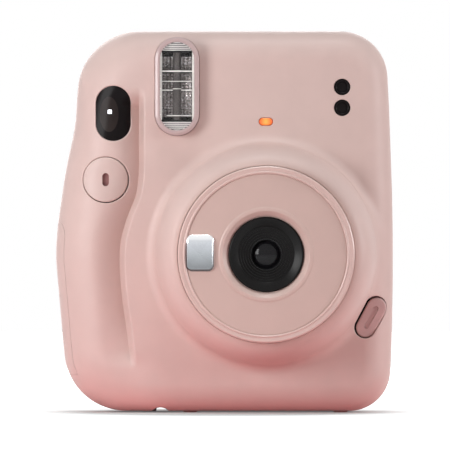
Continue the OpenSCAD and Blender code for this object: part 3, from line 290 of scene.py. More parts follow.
def combine(target, tools, operation="DIFFERENCE"):
    """Cuts tools from a mesh, or joins them to it, or keeps what they share."""
    for tool in tools:
        change = target.modifiers.new("combine", "BOOLEAN")
        change.operation = operation
        change.solver = "MANIFOLD"
        change.object = tool
        with bpy.context.temp_override(object=target, active_object=target):
            bpy.ops.object.modifier_apply(modifier=change.name)
        bpy.data.objects.remove(tool)
    return target


def joined(name, parts):
    """Several meshes as one object."""
    shape = bmesh.new()
    for part in parts:
        shape.from_mesh(part.data)
        bpy.data.objects.remove(part)
    mesh = bpy.data.meshes.new(name)
    shape.to_mesh(mesh)
    shape.free()
    return placed(name, mesh)


def copy_of(obj, name):
    """Copy of an object, with a mesh of its own."""
    return placed(name, obj.data.copy())


# Finishes

def srgb(r, g, b):
    """Linear colour from the usual 0 to 255 numbers."""
    c = np.array([r, g, b]) / 255
    return (*np.where(c <= 0.04045, c / 12.92, ((c + 0.055) / 1.055) ** 2.4), 1.0)


# Where most of a noise lies
NOISE_LOW, NOISE_HIGH = 0.3, 0.7
GRAIN_DEPTH = 0.03


def shade(colour, factor):
    """A colour made lighter or darker."""
    return (*[min(1.0, v * factor) for v in colour[:3]], 1.0)


def feed(tree, node, inputs):
    """Links inputs, by name or number, to the outputs given for them, or sets them to values."""
    for key, value in inputs.items():
        if isinstance(value, bpy.types.NodeSocket):
            tree.links.new(value, node.inputs[key])
        else:
            node.inputs[key].default_value = value


def add(tree, kind, inputs, **settings):
    """New shader node with its settings and inputs."""
    node = tree.nodes.new("ShaderNode" + kind)
    for key, value in settings.items():
        setattr(node, key, value)
    feed(tree, node, inputs)
    return node


def new_finish(name):
    """New material, its node tree, its shader and the coordinates on its object."""
    made = bpy.data.materials.new(name)
    made.use_nodes = True
    tree = made.node_tree
    return made, tree, tree.nodes["Principled BSDF"], add(tree, "TexCoord", {}).outputs["Object"]


def noise(tree, coord, size, detail=2.0, stretch=None):
    """Noise of a feature size in millimetres."""
    if stretch:
        coord = add(tree, "Mapping", {"Vector": coord, "Scale": stretch}).outputs["Vector"]
    node = add(tree, "TexNoise", {"Vector": coord, "Scale": 1 / (size * MM), "Detail": detail})
    return node.outputs["Fac"]


def ramp(tree, source, stops):
    """Colour that follows a number, from (number, colour) stops."""
    node = add(tree, "ValToRGB", {"Fac": source})
    while len(node.color_ramp.elements) < len(stops):
        node.color_ramp.elements.new(0.5)
    for element, (place, colour) in zip(node.color_ramp.elements, stops):
        element.position = place
        element.color = colour
    return node.outputs["Color"]


def spread(tree, source, low, high):
    """Maps the middle of a noise to a range of numbers."""
    node = add(tree, "MapRange", {"Value": source, "From Min": NOISE_LOW, "From Max": NOISE_HIGH,
                                  "To Min": low, "To Max": high})
    return node.outputs["Result"]


def surface(name, colour, rough, mottle=0.03, grain=0.1, grain_size=0.25, rough_by=0.05, metal=0.0,
            stretch=None, coat=0.0, specular=0.5):
    """Opaque finish: slight mottle in the colour, a fine moulded grain, roughness that varies."""
    made, tree, bsdf, coord = new_finish(name)
    cloud = noise(tree, coord, 6.0)
    fine = noise(tree, coord, grain_size, 3.0, stretch)
    stops = [(NOISE_LOW, shade(colour, 1 - mottle)), (NOISE_HIGH, shade(colour, 1 + mottle))]
    bump = add(tree, "Bump", {"Strength": grain, "Distance": GRAIN_DEPTH * MM, "Height": fine})
    feed(tree, bsdf, {
        "Base Color": ramp(tree, cloud, stops),
        "Roughness": spread(tree, fine, rough - rough_by, rough + rough_by),
        "Normal": bump.outputs["Normal"],
        "Metallic": metal,
        "Coat Weight": coat,
        "Coat Roughness": 0.08,
        "Specular IOR Level": specular,
    })
    return made


def clear(name, colour, rough, ior=1.49, through=1.0):
    """See-through plastic or glass with a faint haze."""
    made, tree, bsdf, coord = new_finish(name)
    cloud = noise(tree, coord, 4.0)
    feed(tree, bsdf, {
        "Base Color": ramp(tree, cloud, [(NOISE_LOW, shade(colour, 0.99)), (NOISE_HIGH, colour)]),
        "Roughness": spread(tree, cloud, rough * 0.6, rough * 1.4),
        "Transmission Weight": through,
        "IOR": ior,
    })
    return made


def glowing(name, edge, core, centre, size):
    """Lit lamp: a bright core that fades to the edge colour."""
    made, tree, bsdf, coord = new_finish(name)
    away = add(tree, "VectorMath", {0: coord, 1: Vector(centre) * MM}, operation="DISTANCE")
    scale = add(tree, "Math", {0: away.outputs["Value"], 1: size * MM}, operation="DIVIDE")
    colour = ramp(tree, scale.outputs["Value"], [(0.0, core), (1.0, edge)])
    feed(tree, bsdf, {"Base Color": colour, "Emission Color": colour, "Emission Strength": 0.45,
                      "Roughness": 0.25})
    return made


def banded(name, stops, rough, metal):
    """Finish whose colour changes with the height over the base, in tenths of a metre."""
    made, tree, bsdf, coord = new_finish(name)
    split = add(tree, "SeparateXYZ", {"Vector": coord})
    level = add(tree, "Math", {0: split.outputs["Z"], 1: 0.1}, operation="DIVIDE")
    colours = [(place, srgb(*colour)) for place, colour in stops]
    feed(tree, bsdf, {
        "Base Color": ramp(tree, level.outputs["Value"], colours),
        "Roughness": spread(tree, noise(tree, coord, 0.4), rough - 0.06, rough + 0.06),
        "Metallic": metal,
    })
    return made


# Opaque finishes: colour, roughness, and what else isn't as usual
OPAQUE = {
    "shell_pink": ((214, 191, 185), 0.46, dict(mottle=0.015, grain=0.12, grain_size=0.22, specular=0.35)),
    "button_pink": ((212, 191, 185), 0.42, dict(mottle=0.015, specular=0.35)),
    "dark_pink": ((199, 168, 165), 0.4, dict(grain=0.15)),
    "lens_pink": ((205, 181, 173), 0.4, dict(mottle=0.012, grain=0.08, grain_size=0.18)),
    "clear_rim": ((214, 188, 181), 0.25, dict(mottle=0.02, grain=0.03)),
    "black_inner": ((34, 33, 34), 0.6, dict(mottle=0.15, grain=0.25, grain_size=0.3)),
    "black_trim": ((18, 17, 17), 0.38, dict(mottle=0.1, grain_size=0.2, specular=0.25)),
    "black_gloss": ((24, 21, 22), 0.2, dict(mottle=0.1, grain=0.01, rough_by=0.03, specular=0.06)),
    "slot_shade": ((150, 104, 102), 0.5, dict(mottle=0.05)),
    "lens_black": ((15, 14, 14), 0.3, dict(mottle=0.1, grain=0.06, specular=0.14)),
    "flash_border": ((190, 168, 167), 0.16, dict(grain=0.02)),
    "flash_ribs": ((232, 228, 226), 0.25, dict(mottle=0.04, grain=0.05)),
    # Dark finish for the groove floors at the flash ends: painted shade.
    "flash_groove_shade": ((112, 108, 108), 0.3, dict(mottle=0.1, grain=0.05)),
    # Lighter finish of the viewfinder's oval lens: a painted reflection.
    "finder_lens_reflection": ((48, 43, 42), 0.25, dict(mottle=0.1, grain=0.01, rough_by=0.03, specular=0.06)),
    "switch_black": ((44, 44, 47), 0.5, dict(mottle=0.1, grain=0.2)),
    "reflector_foil": ((128, 122, 121), 0.3, dict(mottle=0.2, grain=0.3, grain_size=0.5, metal=1.0)),
    "board_green": ((30, 84, 56), 0.35, dict(mottle=0.3, grain_size=1.2)),
    "can_black": ((26, 26, 30), 0.3, dict(mottle=0.1, grain=0.05, coat=0.4)),
    "blade_black": ((40, 40, 42), 0.45, dict(mottle=0.1, metal=0.4)),
    "bright_steel": ((200, 201, 204), 0.26,
                     dict(mottle=0.04, grain_size=0.3, metal=1.0, stretch=(0.05, 1, 1))),
    "white_plastic": ((232, 231, 226), 0.45, dict(mottle=0.02)),
    "brass_pinion": ((206, 172, 96), 0.3, dict(mottle=0.06, metal=1.0)),
    # The feet are a lighter pink than the shell, a painted light: they sit in the body's shadow.
    "foot_rubber": ((238, 212, 206), 0.6, dict(mottle=0.04, grain=0.3, grain_size=0.3)),
}
# See-through finishes: colour, roughness, and where it isn't as usual refraction and share let through
CLEAR = {
    "clear_window": ((250, 248, 248), 0.01),
    "amber_window": ((206, 150, 70), 0.08),
    "lens_glass": ((34, 34, 38), 0.012, 1.27, 0.4),
    "flash_pane": ((250, 248, 248), 0.01, 1.2),
    "optical_glass": ((248, 249, 252), 0.012, 1.52),
    "flash_glass": ((124, 119, 118), 0.15, 1.15, 0.5),
}
# Finishes in bands: (height, colour) stops, roughness and metal
BANDED = {
    # The mirror's bands are a painted reflection: light at its top, darker towards its bottom.
    "mirror_silver": ([(0.455, (122, 123, 126)), (0.5, (174, 178, 182)), (0.53, (197, 200, 206)),
                       (0.546, (212, 215, 220)), (0.553, (240, 241, 243))], 0.2, 1.0),
    "cell_wrap": ([(0.17, (200, 200, 204)), (0.2, (52, 56, 62)), (0.56, (52, 56, 62)),
                   (0.58, (190, 132, 84))], 0.3, 0.3),
}
FINISH = {name: surface(name, srgb(*colour), rough, **more) for name, (colour, rough, more) in OPAQUE.items()}
FINISH.update({name: clear(name, srgb(*colour), *more) for name, (colour, *more) in CLEAR.items()})
FINISH.update({name: banded(name, *bands) for name, bands in BANDED.items()})
FINISH["lamp_orange"] = glowing("lamp_orange", srgb(206, 84, 34), srgb(255, 176, 84),
                                middle("ready_lamp") * [1, 0, 1] + [0, FRONT_Y, 0], 2.0)


# Body outline and the shape of its front

DIRECTIONS = np.linspace(0, 2 * np.pi, 360, endpoint=False)
NORMALS = np.stack([np.cos(DIRECTIONS), np.sin(DIRECTIONS)], 1)
REACH = (DISCS[:, :2] @ NORMALS.T + DISCS[:, 2:]).max(0)
SPOKE_ANGLES = np.linspace(0, 2 * np.pi, SPOKES, endpoint=False)
SPOKE_WAYS = np.stack([np.cos(SPOKE_ANGLES), np.sin(SPOKE_ANGLES)], 1)


def edge_depth(x, z):
    """How far points lie inside the outline of the body."""
    return (REACH - np.stack([x, z], -1) @ NORMALS.T).min(-1)


def spoke_reach(inset):
    """Length of each spoke from the lens axis to the outline, drawn in by an inset."""
    facing = SPOKE_WAYS @ NORMALS.T
    length = (REACH - inset - AXIS @ NORMALS.T) / np.maximum(facing, 1e-6)
    return np.where(facing > 1e-3, length, np.inf).min(1)


def spokes_at(length):
    """X and Z of the points at a length along the spokes."""
    return LENS_X + length * SPOKE_WAYS[:, 0], LENS_Z + length * SPOKE_WAYS[:, 1]


def quarter_round(d, r):
    """Rise of a round edge of radius r at depth d inside the edge."""
    t = np.clip(d / r, 0, 1)
    return r * np.sqrt(1 - (1 - t) ** 2)


def ease(t):
    """Smooth step from 0 to 1."""
    t = np.clip(t, 0, 1)
    return t * t * (3 - 2 * t)


def riser(t):
    """Rise of the step beside the grip: straight, with a small round at its top."""
    t = np.clip(t, 0, 1)
    return np.where(t < 0.7, t / 0.85, 1 - (1 - t) ** 2 / 0.51)


def step_x(z):
    """X of the left edge of the front block at a height, a smooth curve through STEP_LINE."""
    zs, xs = STEP_LINE.T
    slope = np.gradient(xs, zs)
    i = np.clip(np.searchsorted(zs, z) - 1, 0, len(zs) - 2)
    h = zs[i + 1] - zs[i]
    t = np.clip((z - zs[i]) / h, 0, 1)
    start = (1 + 2 * t) * (1 - t) ** 2 * xs[i] + t * (1 - t) ** 2 * h * slope[i]
    return start + t * t * (3 - 2 * t) * xs[i + 1] + t * t * (t - 1) * h * slope[i + 1]


def grip_rise(x, z, foot, d, wall):
    """How far the grip and the valley beside it lie in front of the origin. foot is the step's X."""
    level = -SPLIT_Y + quarter_round(d, GRIP_R - wall)
    deep = (1 - ease((z - FADE_TOP) / FADE_H)) * (0.5 + 0.5 * ease((z - VALLEY_DEEPEN) / VALLEY_DEEPEN_H))
    deep = deep * ease((z - VALLEY_START) / VALLEY_START_H)
    return level - VALLEY_DROP * deep * (1 - np.clip((foot - x) / VALLEY_W, 0, 1)) ** 2


def front_y(x, z, wall=0.0):
    """Y of the front surface at a point, or of the inside of the wall behind it."""
    d = edge_depth(x, z) - wall
    block_level = -FRONT_Y - EDGE_R + quarter_round(d, EDGE_R - wall)
    step_foot = step_x(z) - STEP_W / 2
    grip_level = grip_rise(x, z, step_foot, d, wall)
    past = np.maximum(ease((z - FADE_TOP) / FADE_H), ease((FADE_LOW - z) / FADE_H))
    soft = ease((x - step_foot) / END_W + 0.6)
    rise = riser((x - step_foot - wall) / STEP_W) * (1 - past) + soft * past
    level = grip_level + (block_level - grip_level) * rise
    r = np.hypot(x - LENS_X, z - LENS_Z)
    foot = DOME_R - wall
    t = np.clip((r - CREST_R) / (foot - CREST_R), 0, 1)
    dome = -FRONT_Y + (DOME_H - wall) * np.sqrt(1 - t * t)
    dome = dome - np.where(r < BORE_R + BORE_EDGE, BORE_EDGE - quarter_round(r - BORE_R, BORE_EDGE), 0)
    fillet = DOME_FILLET - quarter_round(r - foot, DOME_FILLET)
    return -np.where(r < foot, np.maximum(dome, level + DOME_FILLET), level + fillet)


def step_on_spokes(aside, start, reach, latest):
    """Where each spoke crosses a line beside the step, no later than a share of the way to the outline."""
    t = np.linspace(0, 1, 600)
    length = start + (reach - start)[:, None] * t
    x = LENS_X + length * SPOKE_WAYS[:, :1]
    z = LENS_Z + length * SPOKE_WAYS[:, 1:]
    beyond = x < step_x(z) + aside
    first = np.where(beyond.any(1), beyond.argmax(1), len(t) - 1)
    rows = np.arange(SPOKES)
    gap = x - step_x(z) - aside
    before = np.maximum(first - 1, 0)
    share = gap[rows, before] / np.maximum(gap[rows, before] - gap[rows, first], 1e-9)
    crossing = t[before] + (t[first] - t[before]) * np.clip(share, 0, 1)
    return start + (reach - start) * np.minimum(crossing, latest)


def waisted(ring):
    """Draws a ring in a little at the left, between the top corner and the grip."""
    x, y, z = ring.T
    pull = WAIST * np.exp(-((z - WAIST_Z) / WAIST_H) ** 2)
    return np.stack([x + pull * ease((WAIST_X - x) / 6), y, z], 1)


def front_lengths(wall, rings_out):
    """Lengths along the spokes of the rings over the front, from the lens bore to the outline."""
    foot = DOME_R - wall
    radii = [BORE_R + share * BORE_EDGE for share in (0, 0.1, 0.4, 1)]
    radii += list(CREST_R + (foot - CREST_R) * np.sin(np.linspace(0, np.pi / 2, 15)))
    radii += list(foot + 0.01 + DOME_FILLET * (1 - np.cos(np.linspace(0.2, np.pi / 2, 8))))
    reach = spoke_reach(wall)
    lengths = [np.full(SPOKES, r) for r in radii]
    foot_at = step_on_spokes(-STEP_W / 2 + wall, radii[-1], reach, 0.9)
    top_at = np.minimum(step_on_spokes(STEP_W / 2 + wall, radii[-1], reach, 0.87), foot_at - 0.01)
    for t in np.linspace(0, 1, rings_out // 2)[1:]:
        lengths.append(radii[-1] + (top_at - radii[-1]) * t)
    for t in (0.1, 0.2, 0.3, 0.5, 0.75, 1.0):
        lengths.append(top_at + (foot_at - top_at) * t)
    for s in np.linspace(1, 0, rings_out)[1:]:
        lengths.append(reach - (reach - foot_at) * s * s)
    return lengths


def body_rings(wall, rings_out):
    """Rings of one skin of the body, from the lens bore over the front, the sides and the back."""
    back_r = REAR_EDGE_R - wall
    back_y = BACK_Y if wall == 0 else INNER_BACK_Y
    rings = []
    for length in front_lengths(wall, rings_out):
        x, z = spokes_at(length)
        rings.append(np.stack([x, front_y(x, z, wall), z], 1))
    x, rim_y, z = rings[-1].T
    for t in np.linspace(0, 1, 9)[1:]:
        rings.append(np.stack([x, rim_y + (back_y - back_r - rim_y) * t, z], 1))
    for a in np.linspace(0, np.pi / 2, 10)[1:]:
        x, z = spokes_at(spoke_reach(wall + back_r * (1 - math.cos(a))))
        rings.append(np.stack([x, np.full(SPOKES, back_y - back_r + back_r * math.sin(a)), z], 1))
    edge, centre = rings[-1], np.array([LENS_X, back_y, LENS_Z])
    for t in (0.66, 0.33, 0.05):
        rings.append(centre + (edge - centre) * t)
    return [waisted(ring) for ring in rings]


def body_skin():
    """Closed hollow body: the outer skin, and the inner one a wall behind it, joined at the lens bore."""
    outer = body_rings(0.0, 90)
    inner = body_rings(WALL, 30)
    return loft("body_skin", outer[::-1] + inner)


def sunk_by(outline, sink):
    """Ring of points that follows the front surface at a depth under it."""
    x, z = outline
    return np.stack([x, front_y(x, z) + sink, z], 1)


# Places of what is set into the body
FLASH = middle("flash_window")
FLASH_LOW, FLASH_HIGH = box_mm("flash_window")
FLASH_W, FLASH_H = front_size("flash_window") - [0.55, 0.3]
FLASH_BORDER = 1.6
FLASH_GAP = 0.08
FINDER = middle("viewfinder_window")
FINDER_W, FINDER_H = front_size("viewfinder_window")
FINDER_AT = FINDER[[0, 2]] + [0.15, -0.17]
BUTTON = middle("shutter_button")
BUTTON_R = size_of("shutter_button")[0] / 2
BUTTON_CAP_R = BUTTON_R - 0.13
BUTTON_HOLE = (BUTTON[0] + 0.1, BUTTON[2] - 0.08, 2 * BUTTON_R + 0.1)
# The power button leans: its middle, width, length, angle in degrees, and the way across it
POWER_AT = np.array([46.63, 30.21])
POWER_W, POWER_LEN, POWER_TURN = 6.2, 13.6, -27.6
POWER_WAY = np.array([math.cos(math.radians(POWER_TURN)), math.sin(math.radians(POWER_TURN))])
POWER_GAP = 0.33
POWER_SHIFT = 0.3
LAMP = middle("ready_lamp")
LAMP_W, LAMP_H = 4.3, 2.3
SENSORS = box_mm("light_sensors")
SENSOR_R = size_of("light_sensors")[0] / 2
SENSOR_X = middle("light_sensors")[0]
SENSOR_ZS = (SENSORS[1][2] - SENSOR_R, SENSORS[0][2] + SENSOR_R)
WINDOW_GAP = 0.12
# Groove along the bottom under the valley: radius, depth and Y
NOTCH_X = -20.3
NOTCH = [(4.6, 1.4, FRONT_Y), (3.9, 1.05, FRONT_Y + 9), (1.55, 0.9, BACK_Y + 1)]
FOOT_R = 2.3
FOOT_SEAT = 1.6
FEET = [(-10.9, SPLIT_Y - 4.4), (37.0, SPLIT_Y - 4.4), (-24.0, INNER_BACK_Y - 8), (37.0, INNER_BACK_Y - 8)]
COVER_LOW, COVER_HIGH = box_mm("battery_door")
COVER_IN = 2.6
COVER_GAP = 0.05
COVER_CORNER = 5.0
# Ribs on the battery cover: depth, half thickness, ends along Y, heights
COVER_RIB_DEEP, COVER_RIB_HALF = 0.35, 0.5
COVER_RIB_Y = (11, 29)
COVER_RIB_ZS = (44, 46, 48, 50, 52)


def cover_zone(name, gap):
    """The strip of the left side that comes off with the battery cover."""
    low, high = COVER_LOW[2] - gap, COVER_HIGH[2] + gap
    zs = high - (high - low) * np.linspace(1, 0, 60) ** 2
    lefts = []
    for z in zs:
        reach = (REACH - z * NORMALS[:, 1]) / np.minimum(NORMALS[:, 0], -1e-6)
        lefts.append(reach[NORMALS[:, 0] < -1e-3].max())
    corner = np.sqrt(np.clip(1 - np.clip(1 - (high - zs) / COVER_CORNER, 0, 1) ** 2, 0, 1))
    edge = np.array(lefts) + (COVER_IN + gap) * corner
    outline = [(LEFT - 2, low)] + list(zip(edge, zs)) + [(LEFT - 2, high)]
    y0, y1 = FRONT_Y, INNER_BACK_Y - 4 + gap
    return loft(name, [[(x, y, z) for x, z in outline] for y in (y0, y1)])


def parting_groove():
    """Ring-shaped cutter for the thin line where the two shells meet."""
    half = 0.28
    rings = []
    for inset, y in ((half, SPLIT_Y), (-1, SPLIT_Y - half - 1), (-1, SPLIT_Y + half + 1)):
        x, z = spokes_at(spoke_reach(inset))
        rings.append(waisted(np.stack([x, np.full(SPOKES, y), z], 1)))
    return loft("groove", rings, loop=True)


def soft_cut(name, x, z, w, h, depth_y, soft, turn=0.0):
    """Cutter for an oblong hole in the front. Its edge follows the surface and is rounded off."""
    r = min(w, h) / 2
    px, pz = rim_at(x, z, w, h, r, turn, 128)
    rings = [np.stack([px, np.full(len(px), depth_y), pz], 1)]
    steps = [(soft * (1 - math.cos(a)), soft * (1 - math.sin(a))) for a in np.linspace(0, np.pi / 2, 6)]
    for grow, sink in steps + [(soft + 0.02, -3.0)]:
        rings.append(sunk_by(rim_at(x, z, w + 2 * grow, h + 2 * grow, r + grow, turn, 128), sink))
    return loft(name, rings)


# Places on the back
HINGE_X, HINGE_Y = middle("door_hinge_pin")[:2]
HINGE_R = 1.7
PIN_R = 0.8
DOOR_HIGH = box_mm("film_door")[1]
DOOR_Z0 = box_mm("film_door")[0][2]
DOOR_X0, DOOR_X1, DOOR_Z1 = HINGE_X + 2.05, DOOR_HIGH[0], DOOR_HIGH[2]
DOOR_FACE_Y = DOOR_HIGH[1] - 2.2
DOOR_GAP = 0.3
DOOR_CORNER = 7.0
DOOR_MID = np.array([(DOOR_X0 + DOOR_X1) / 2, (DOOR_Z0 + DOOR_Z1) / 2])
DOOR_SIZE = np.array([DOOR_X1 - DOOR_X0, DOOR_Z1 - DOOR_Z0])
KNUCKLES = [(DOOR_MID[1] - 32, DOOR_MID[1] - 8), (DOOR_MID[1] + 8, DOOR_MID[1] + 32)]
KNUCKLE_GAP = 0.2
CHAMBER_LOW = np.array([DOOR_X0 + 3, DOOR_Z0 + 1.6])
CHAMBER_HIGH = np.array([DOOR_X1 - 1.6, DOOR_Z1 - 1.6])
EYE = middle("eyepiece_frame")
COUNTER_WINDOW = middle("film_counter_window")
LATCH_LOW, LATCH_HIGH = box_mm("door_latch")
FILM_WINDOW = middle("film_door_window")
STRAP = middle("strap_bar")
STRAP_ROOM = np.array([3.2, 5.0, 5.0])
STRAP_POCKET = np.array([4.2, 6.2, 6.4])
SCREWS = [(-31.5, 112.4), (-27.5, 9.5), (-26.1, 62.0)]
SCREW_R, SCREW_BOSS_R = 2.2, 3.3
SCREW_FLOOR_Y = SPLIT_Y + 6
COUNTER_HOLE_R = 3.1
# Slot on top that the film comes out of: middle, width, thickness and depth
EXIT_Y, EXIT_W, EXIT_T, EXIT_DEEP = 26.5, 57.0, 3.2, 6.0


def settle(obj, body, nodes, slot, sharp=32, name=None, finish=None):
    """Names and shades a piece, gives it the finish of its slot or another, hangs it on its body."""
    obj.name = name or nodes[0] + "_look"
    obj.data.name = obj.name
    obj.data.shade_smooth()
    obj.data.set_sharp_from_angle(angle=math.radians(sharp))
    obj.data.materials.clear()
    obj.data.materials.append(FINISH[finish or slot])
    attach(obj, body)
    if nodes:
        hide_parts(*nodes)
    return obj


def foot_pockets():
    """Cutters for the seats of the feet."""
    r = FOOT_R + 0.1
    return [turned("pocket", [(r, -1), (r, FOOT_SEAT)], x, y, upright=True, n=64) for x, y in FEET]


def build_shells():
    """Front shell, rear shell and battery cover, cut from one smooth body."""
    skin = combine(body_skin(), [parting_groove()])
    cover = combine(copy_of(skin, "cover"), [cover_zone("zone", 0.0)], "INTERSECT")
    rounds = [(2 * r, 2 * r, r, y, 0, deep - r) for r, deep, y in NOTCH]
    notch = slab("notch", NOTCH_X, BASE, rounds)
    combine(skin, [cover_zone("zone", COVER_GAP), notch] + foot_pockets())
    seam = 0.03
    fore = block("half", (-90, -60, -10), (90, SPLIT_Y - seam, 150))
    aft = block("half", (-90, SPLIT_Y + seam, -10), (90, 60, 150))
    front = combine(copy_of(skin, "front"), [fore], "INTERSECT")
    rear = combine(skin, [aft], "INTERSECT")
    shell_front(front)
    shell_rear(rear)
    ribs = [block("rib", (LEFT - 1, COVER_RIB_Y[0], z - COVER_RIB_HALF),
                  (LEFT + COVER_RIB_DEEP, COVER_RIB_Y[1], z + COVER_RIB_HALF)) for z in COVER_RIB_ZS]
    combine(cover, ribs)
    settle(cover, "battery_cover", ["battery_door"], "shell_pink", 40)


def shell_front(front):
    """Cuts the holes for the windows, the buttons and the lamp."""
    gap = 2 * WINDOW_GAP
    play = 2 * POWER_GAP
    eye = 2 * SENSOR_R + gap
    tools = [
        soft_cut("flash", FLASH[0], FLASH[2], FLASH_W + 2 * FLASH_GAP, FLASH_H + 2 * FLASH_GAP, -1, 0.2),
        soft_cut("finder", *FINDER_AT, FINDER_W - 0.26, FINDER_H - 0.31, SPLIT_Y - 1, 0.5),
        soft_cut("button", *BUTTON_HOLE, BUTTON_HOLE[2], SPLIT_Y - 1, 0.45),
        soft_cut("power", *(POWER_AT - POWER_SHIFT * POWER_WAY), POWER_W + play, POWER_LEN + play, 1, 0.35,
                 POWER_TURN),
        soft_cut("lamp", LAMP[0], LAMP[2], LAMP_W + gap, LAMP_H + gap, -3, 0.2),
    ]
    tools += [soft_cut("sensor", SENSOR_X, z, eye, eye, -3, 0.2) for z in SENSOR_ZS]
    combine(front, tools)
    settle(front, "camera_body", ["front_shell"], "shell_pink", 40)


def shell_rear(rear):
    """Cuts the door recess, the film slot, the eyepiece, the strap pocket and the screw holes."""
    bosses = [turned("boss", [(SCREW_BOSS_R, SPLIT_Y + 0.1), (SCREW_BOSS_R, INNER_BACK_Y + 1)], x, z, n=48)
              for x, z in SCREWS]
    pocket = block("pocket", STRAP - STRAP_POCKET * [0, 1, 1], STRAP + STRAP_POCKET)
    combine(rear, bosses + [pocket], "UNION")
    size = DOOR_SIZE + 2 * DOOR_GAP
    room = CHAMBER_HIGH - CHAMBER_LOW
    past, inside = BACK_Y + 1, INNER_BACK_Y - 1
    tools = [
        slab("recess", *DOOR_MID, [(*size, DOOR_CORNER + DOOR_GAP, DOOR_FACE_Y - 0.05),
                                   (*size, DOOR_CORNER, past)]),
        slab("chamber", *(CHAMBER_LOW + CHAMBER_HIGH) / 2, [(*room, 2, inside), (*room, 2, past)]),
        block("hinge", (HINGE_X - HINGE_R - 0.3, HINGE_Y - HINGE_R - 0.3, DOOR_Z0 - DOOR_GAP),
              (DOOR_X0 + DOOR_CORNER, past, DOOR_Z1 + DOOR_GAP)),
        slab("eye", EYE[0], EYE[2], oblongs(FINDER_W - 2, FINDER_H - 5, inside, past)),
        rod("counter", COUNTER_WINDOW[0], COUNTER_WINDOW[2], inside, past, COUNTER_HOLE_R),
        block("exit", (LENS_X - EXIT_W / 2, EXIT_Y - EXIT_T / 2, TOP - EXIT_DEEP),
              (LENS_X + EXIT_W / 2, EXIT_Y + EXIT_T / 2, TOP + 1)),
        block("strap", (LEFT - 1, *(STRAP - STRAP_ROOM)[1:]), STRAP + STRAP_ROOM),
    ]
    tools += [rod("screw", x, z, SCREW_FLOOR_Y, past, SCREW_R) for x, z in SCREWS]
    combine(rear, tools)
    add_knuckles(rear)
    settle(rear, "camera_body", ["rear_shell"], "shell_pink", 40)


def add_knuckles(rear):
    """The rear shell's own hinge knuckles, between and beside those of the door, bored for the pin."""
    ends = [DOOR_Z0] + [z for pair in KNUCKLES for z in pair] + [DOOR_Z1]
    reach = HINGE_R + 0.4
    for k in (0, 2, 4):
        low = ends[k] + (KNUCKLE_GAP if k else 0)
        high = ends[k + 1] - (KNUCKLE_GAP if k < 4 else 0)
        base = block("base", (HINGE_X - reach, HINGE_Y - reach, low), (HINGE_X, HINGE_Y, high))
        combine(rear, [knuckle(low, high), base], "UNION")
    combine(rear, [hinge_bore(PIN_R, 0.2)])


def knuckle(low, high):
    """Round part of the hinge between two heights."""
    r, soft = HINGE_R, 0.2
    return turned("knuckle", [(r - soft, low), (r, low + soft), (r, high - soft), (r - soft, high)],
                  HINGE_X, HINGE_Y, upright=True, n=48)


def hinge_bore(r, past):
    """Cutter for the hinge pin's hole, which runs past the door at both ends."""
    return turned("pin", [(r, DOOR_Z0 - past), (r, DOOR_Z1 + past)], HINGE_X, HINGE_Y, upright=True, n=32)


def build_door():
    """Film door with its hinge knuckles, a shallow border groove, the window and the latch recess."""
    w, h = DOOR_SIZE
    door = slab("door", *DOOR_MID, edge_sections(w, h, DOOR_CORNER, BACK_Y, DOOR_FACE_Y, 0.45, 0.2), n=160)
    added = [block("side", (DOOR_X0, DOOR_FACE_Y, KNUCKLES[0][0]),
                   (DOOR_X0 + DOOR_CORNER, BACK_Y - 0.02, KNUCKLES[1][1]))]
    for low, high in KNUCKLES:
        added.append(knuckle(low, high))
        added.append(block("tab", (HINGE_X, HINGE_Y - 0.7, low), (DOOR_X0 + 0.5, HINGE_Y + 0.9, high)))
    combine(door, added, "UNION")
    past = BACK_Y + 1
    lines = [(4.6, past), (5.0, BACK_Y - 0.3), (5.8, BACK_Y - 0.3), (6.2, past)]
    size = front_size("film_door_window") + 0.2
    hole = oblongs(*size, DOOR_FACE_Y - 1, BACK_Y - 0.4) + oblongs(*(size + 1), BACK_Y + 0.1)
    tools = [
        slab("border", *DOOR_MID, inset_sections(w, h, DOOR_CORNER + 2, lines), loop=True, n=160),
        slab("window", FILM_WINDOW[0], FILM_WINDOW[2], hole),
        block("latch", LATCH_LOW - [0.3, 0.1, 3.3], (LATCH_HIGH[0] + 0.3, past, LATCH_HIGH[2] + 0.3), 1.3),
        hinge_bore(PIN_R + 0.1, 0),
    ]
    combine(door, tools)
    settle(door, "film_door_body", ["film_door"], "shell_pink")
    build_door_pieces()


def plate_for(node, corner, edge, crown=0.0):
    """Plate that fills a node's box, with round corners and a round edge to its face at the back."""
    low, high = box_mm(node)
    sections = edge_sections(*front_size(node), corner, high[1], low[1], edge, 0.1, crown)
    return slab(node, *middle(node)[[0, 2]], sections)


def build_door_pieces():
    """The film door's window and its latch, with grooves for the thumb."""
    pane = plate_for("film_door_window", front_size("film_door_window")[0] / 2, 0.5)
    settle(pane, "film_door_body", ["film_door_window"], "amber_window")
    latch = plate_for("door_latch", 1.1, 0.4)
    mid, pitch, half = middle("door_latch"), 2.4, 0.5
    grooves = [block("groove", (LATCH_LOW[0] - 1, BACK_Y, mid[2] + pitch * i - half),
                     (LATCH_HIGH[0] + 1, BACK_Y + 2, mid[2] + pitch * i + half)) for i in range(-2, 3)]
    settle(combine(latch, grooves), "latch_slider", ["door_latch"], "dark_pink")


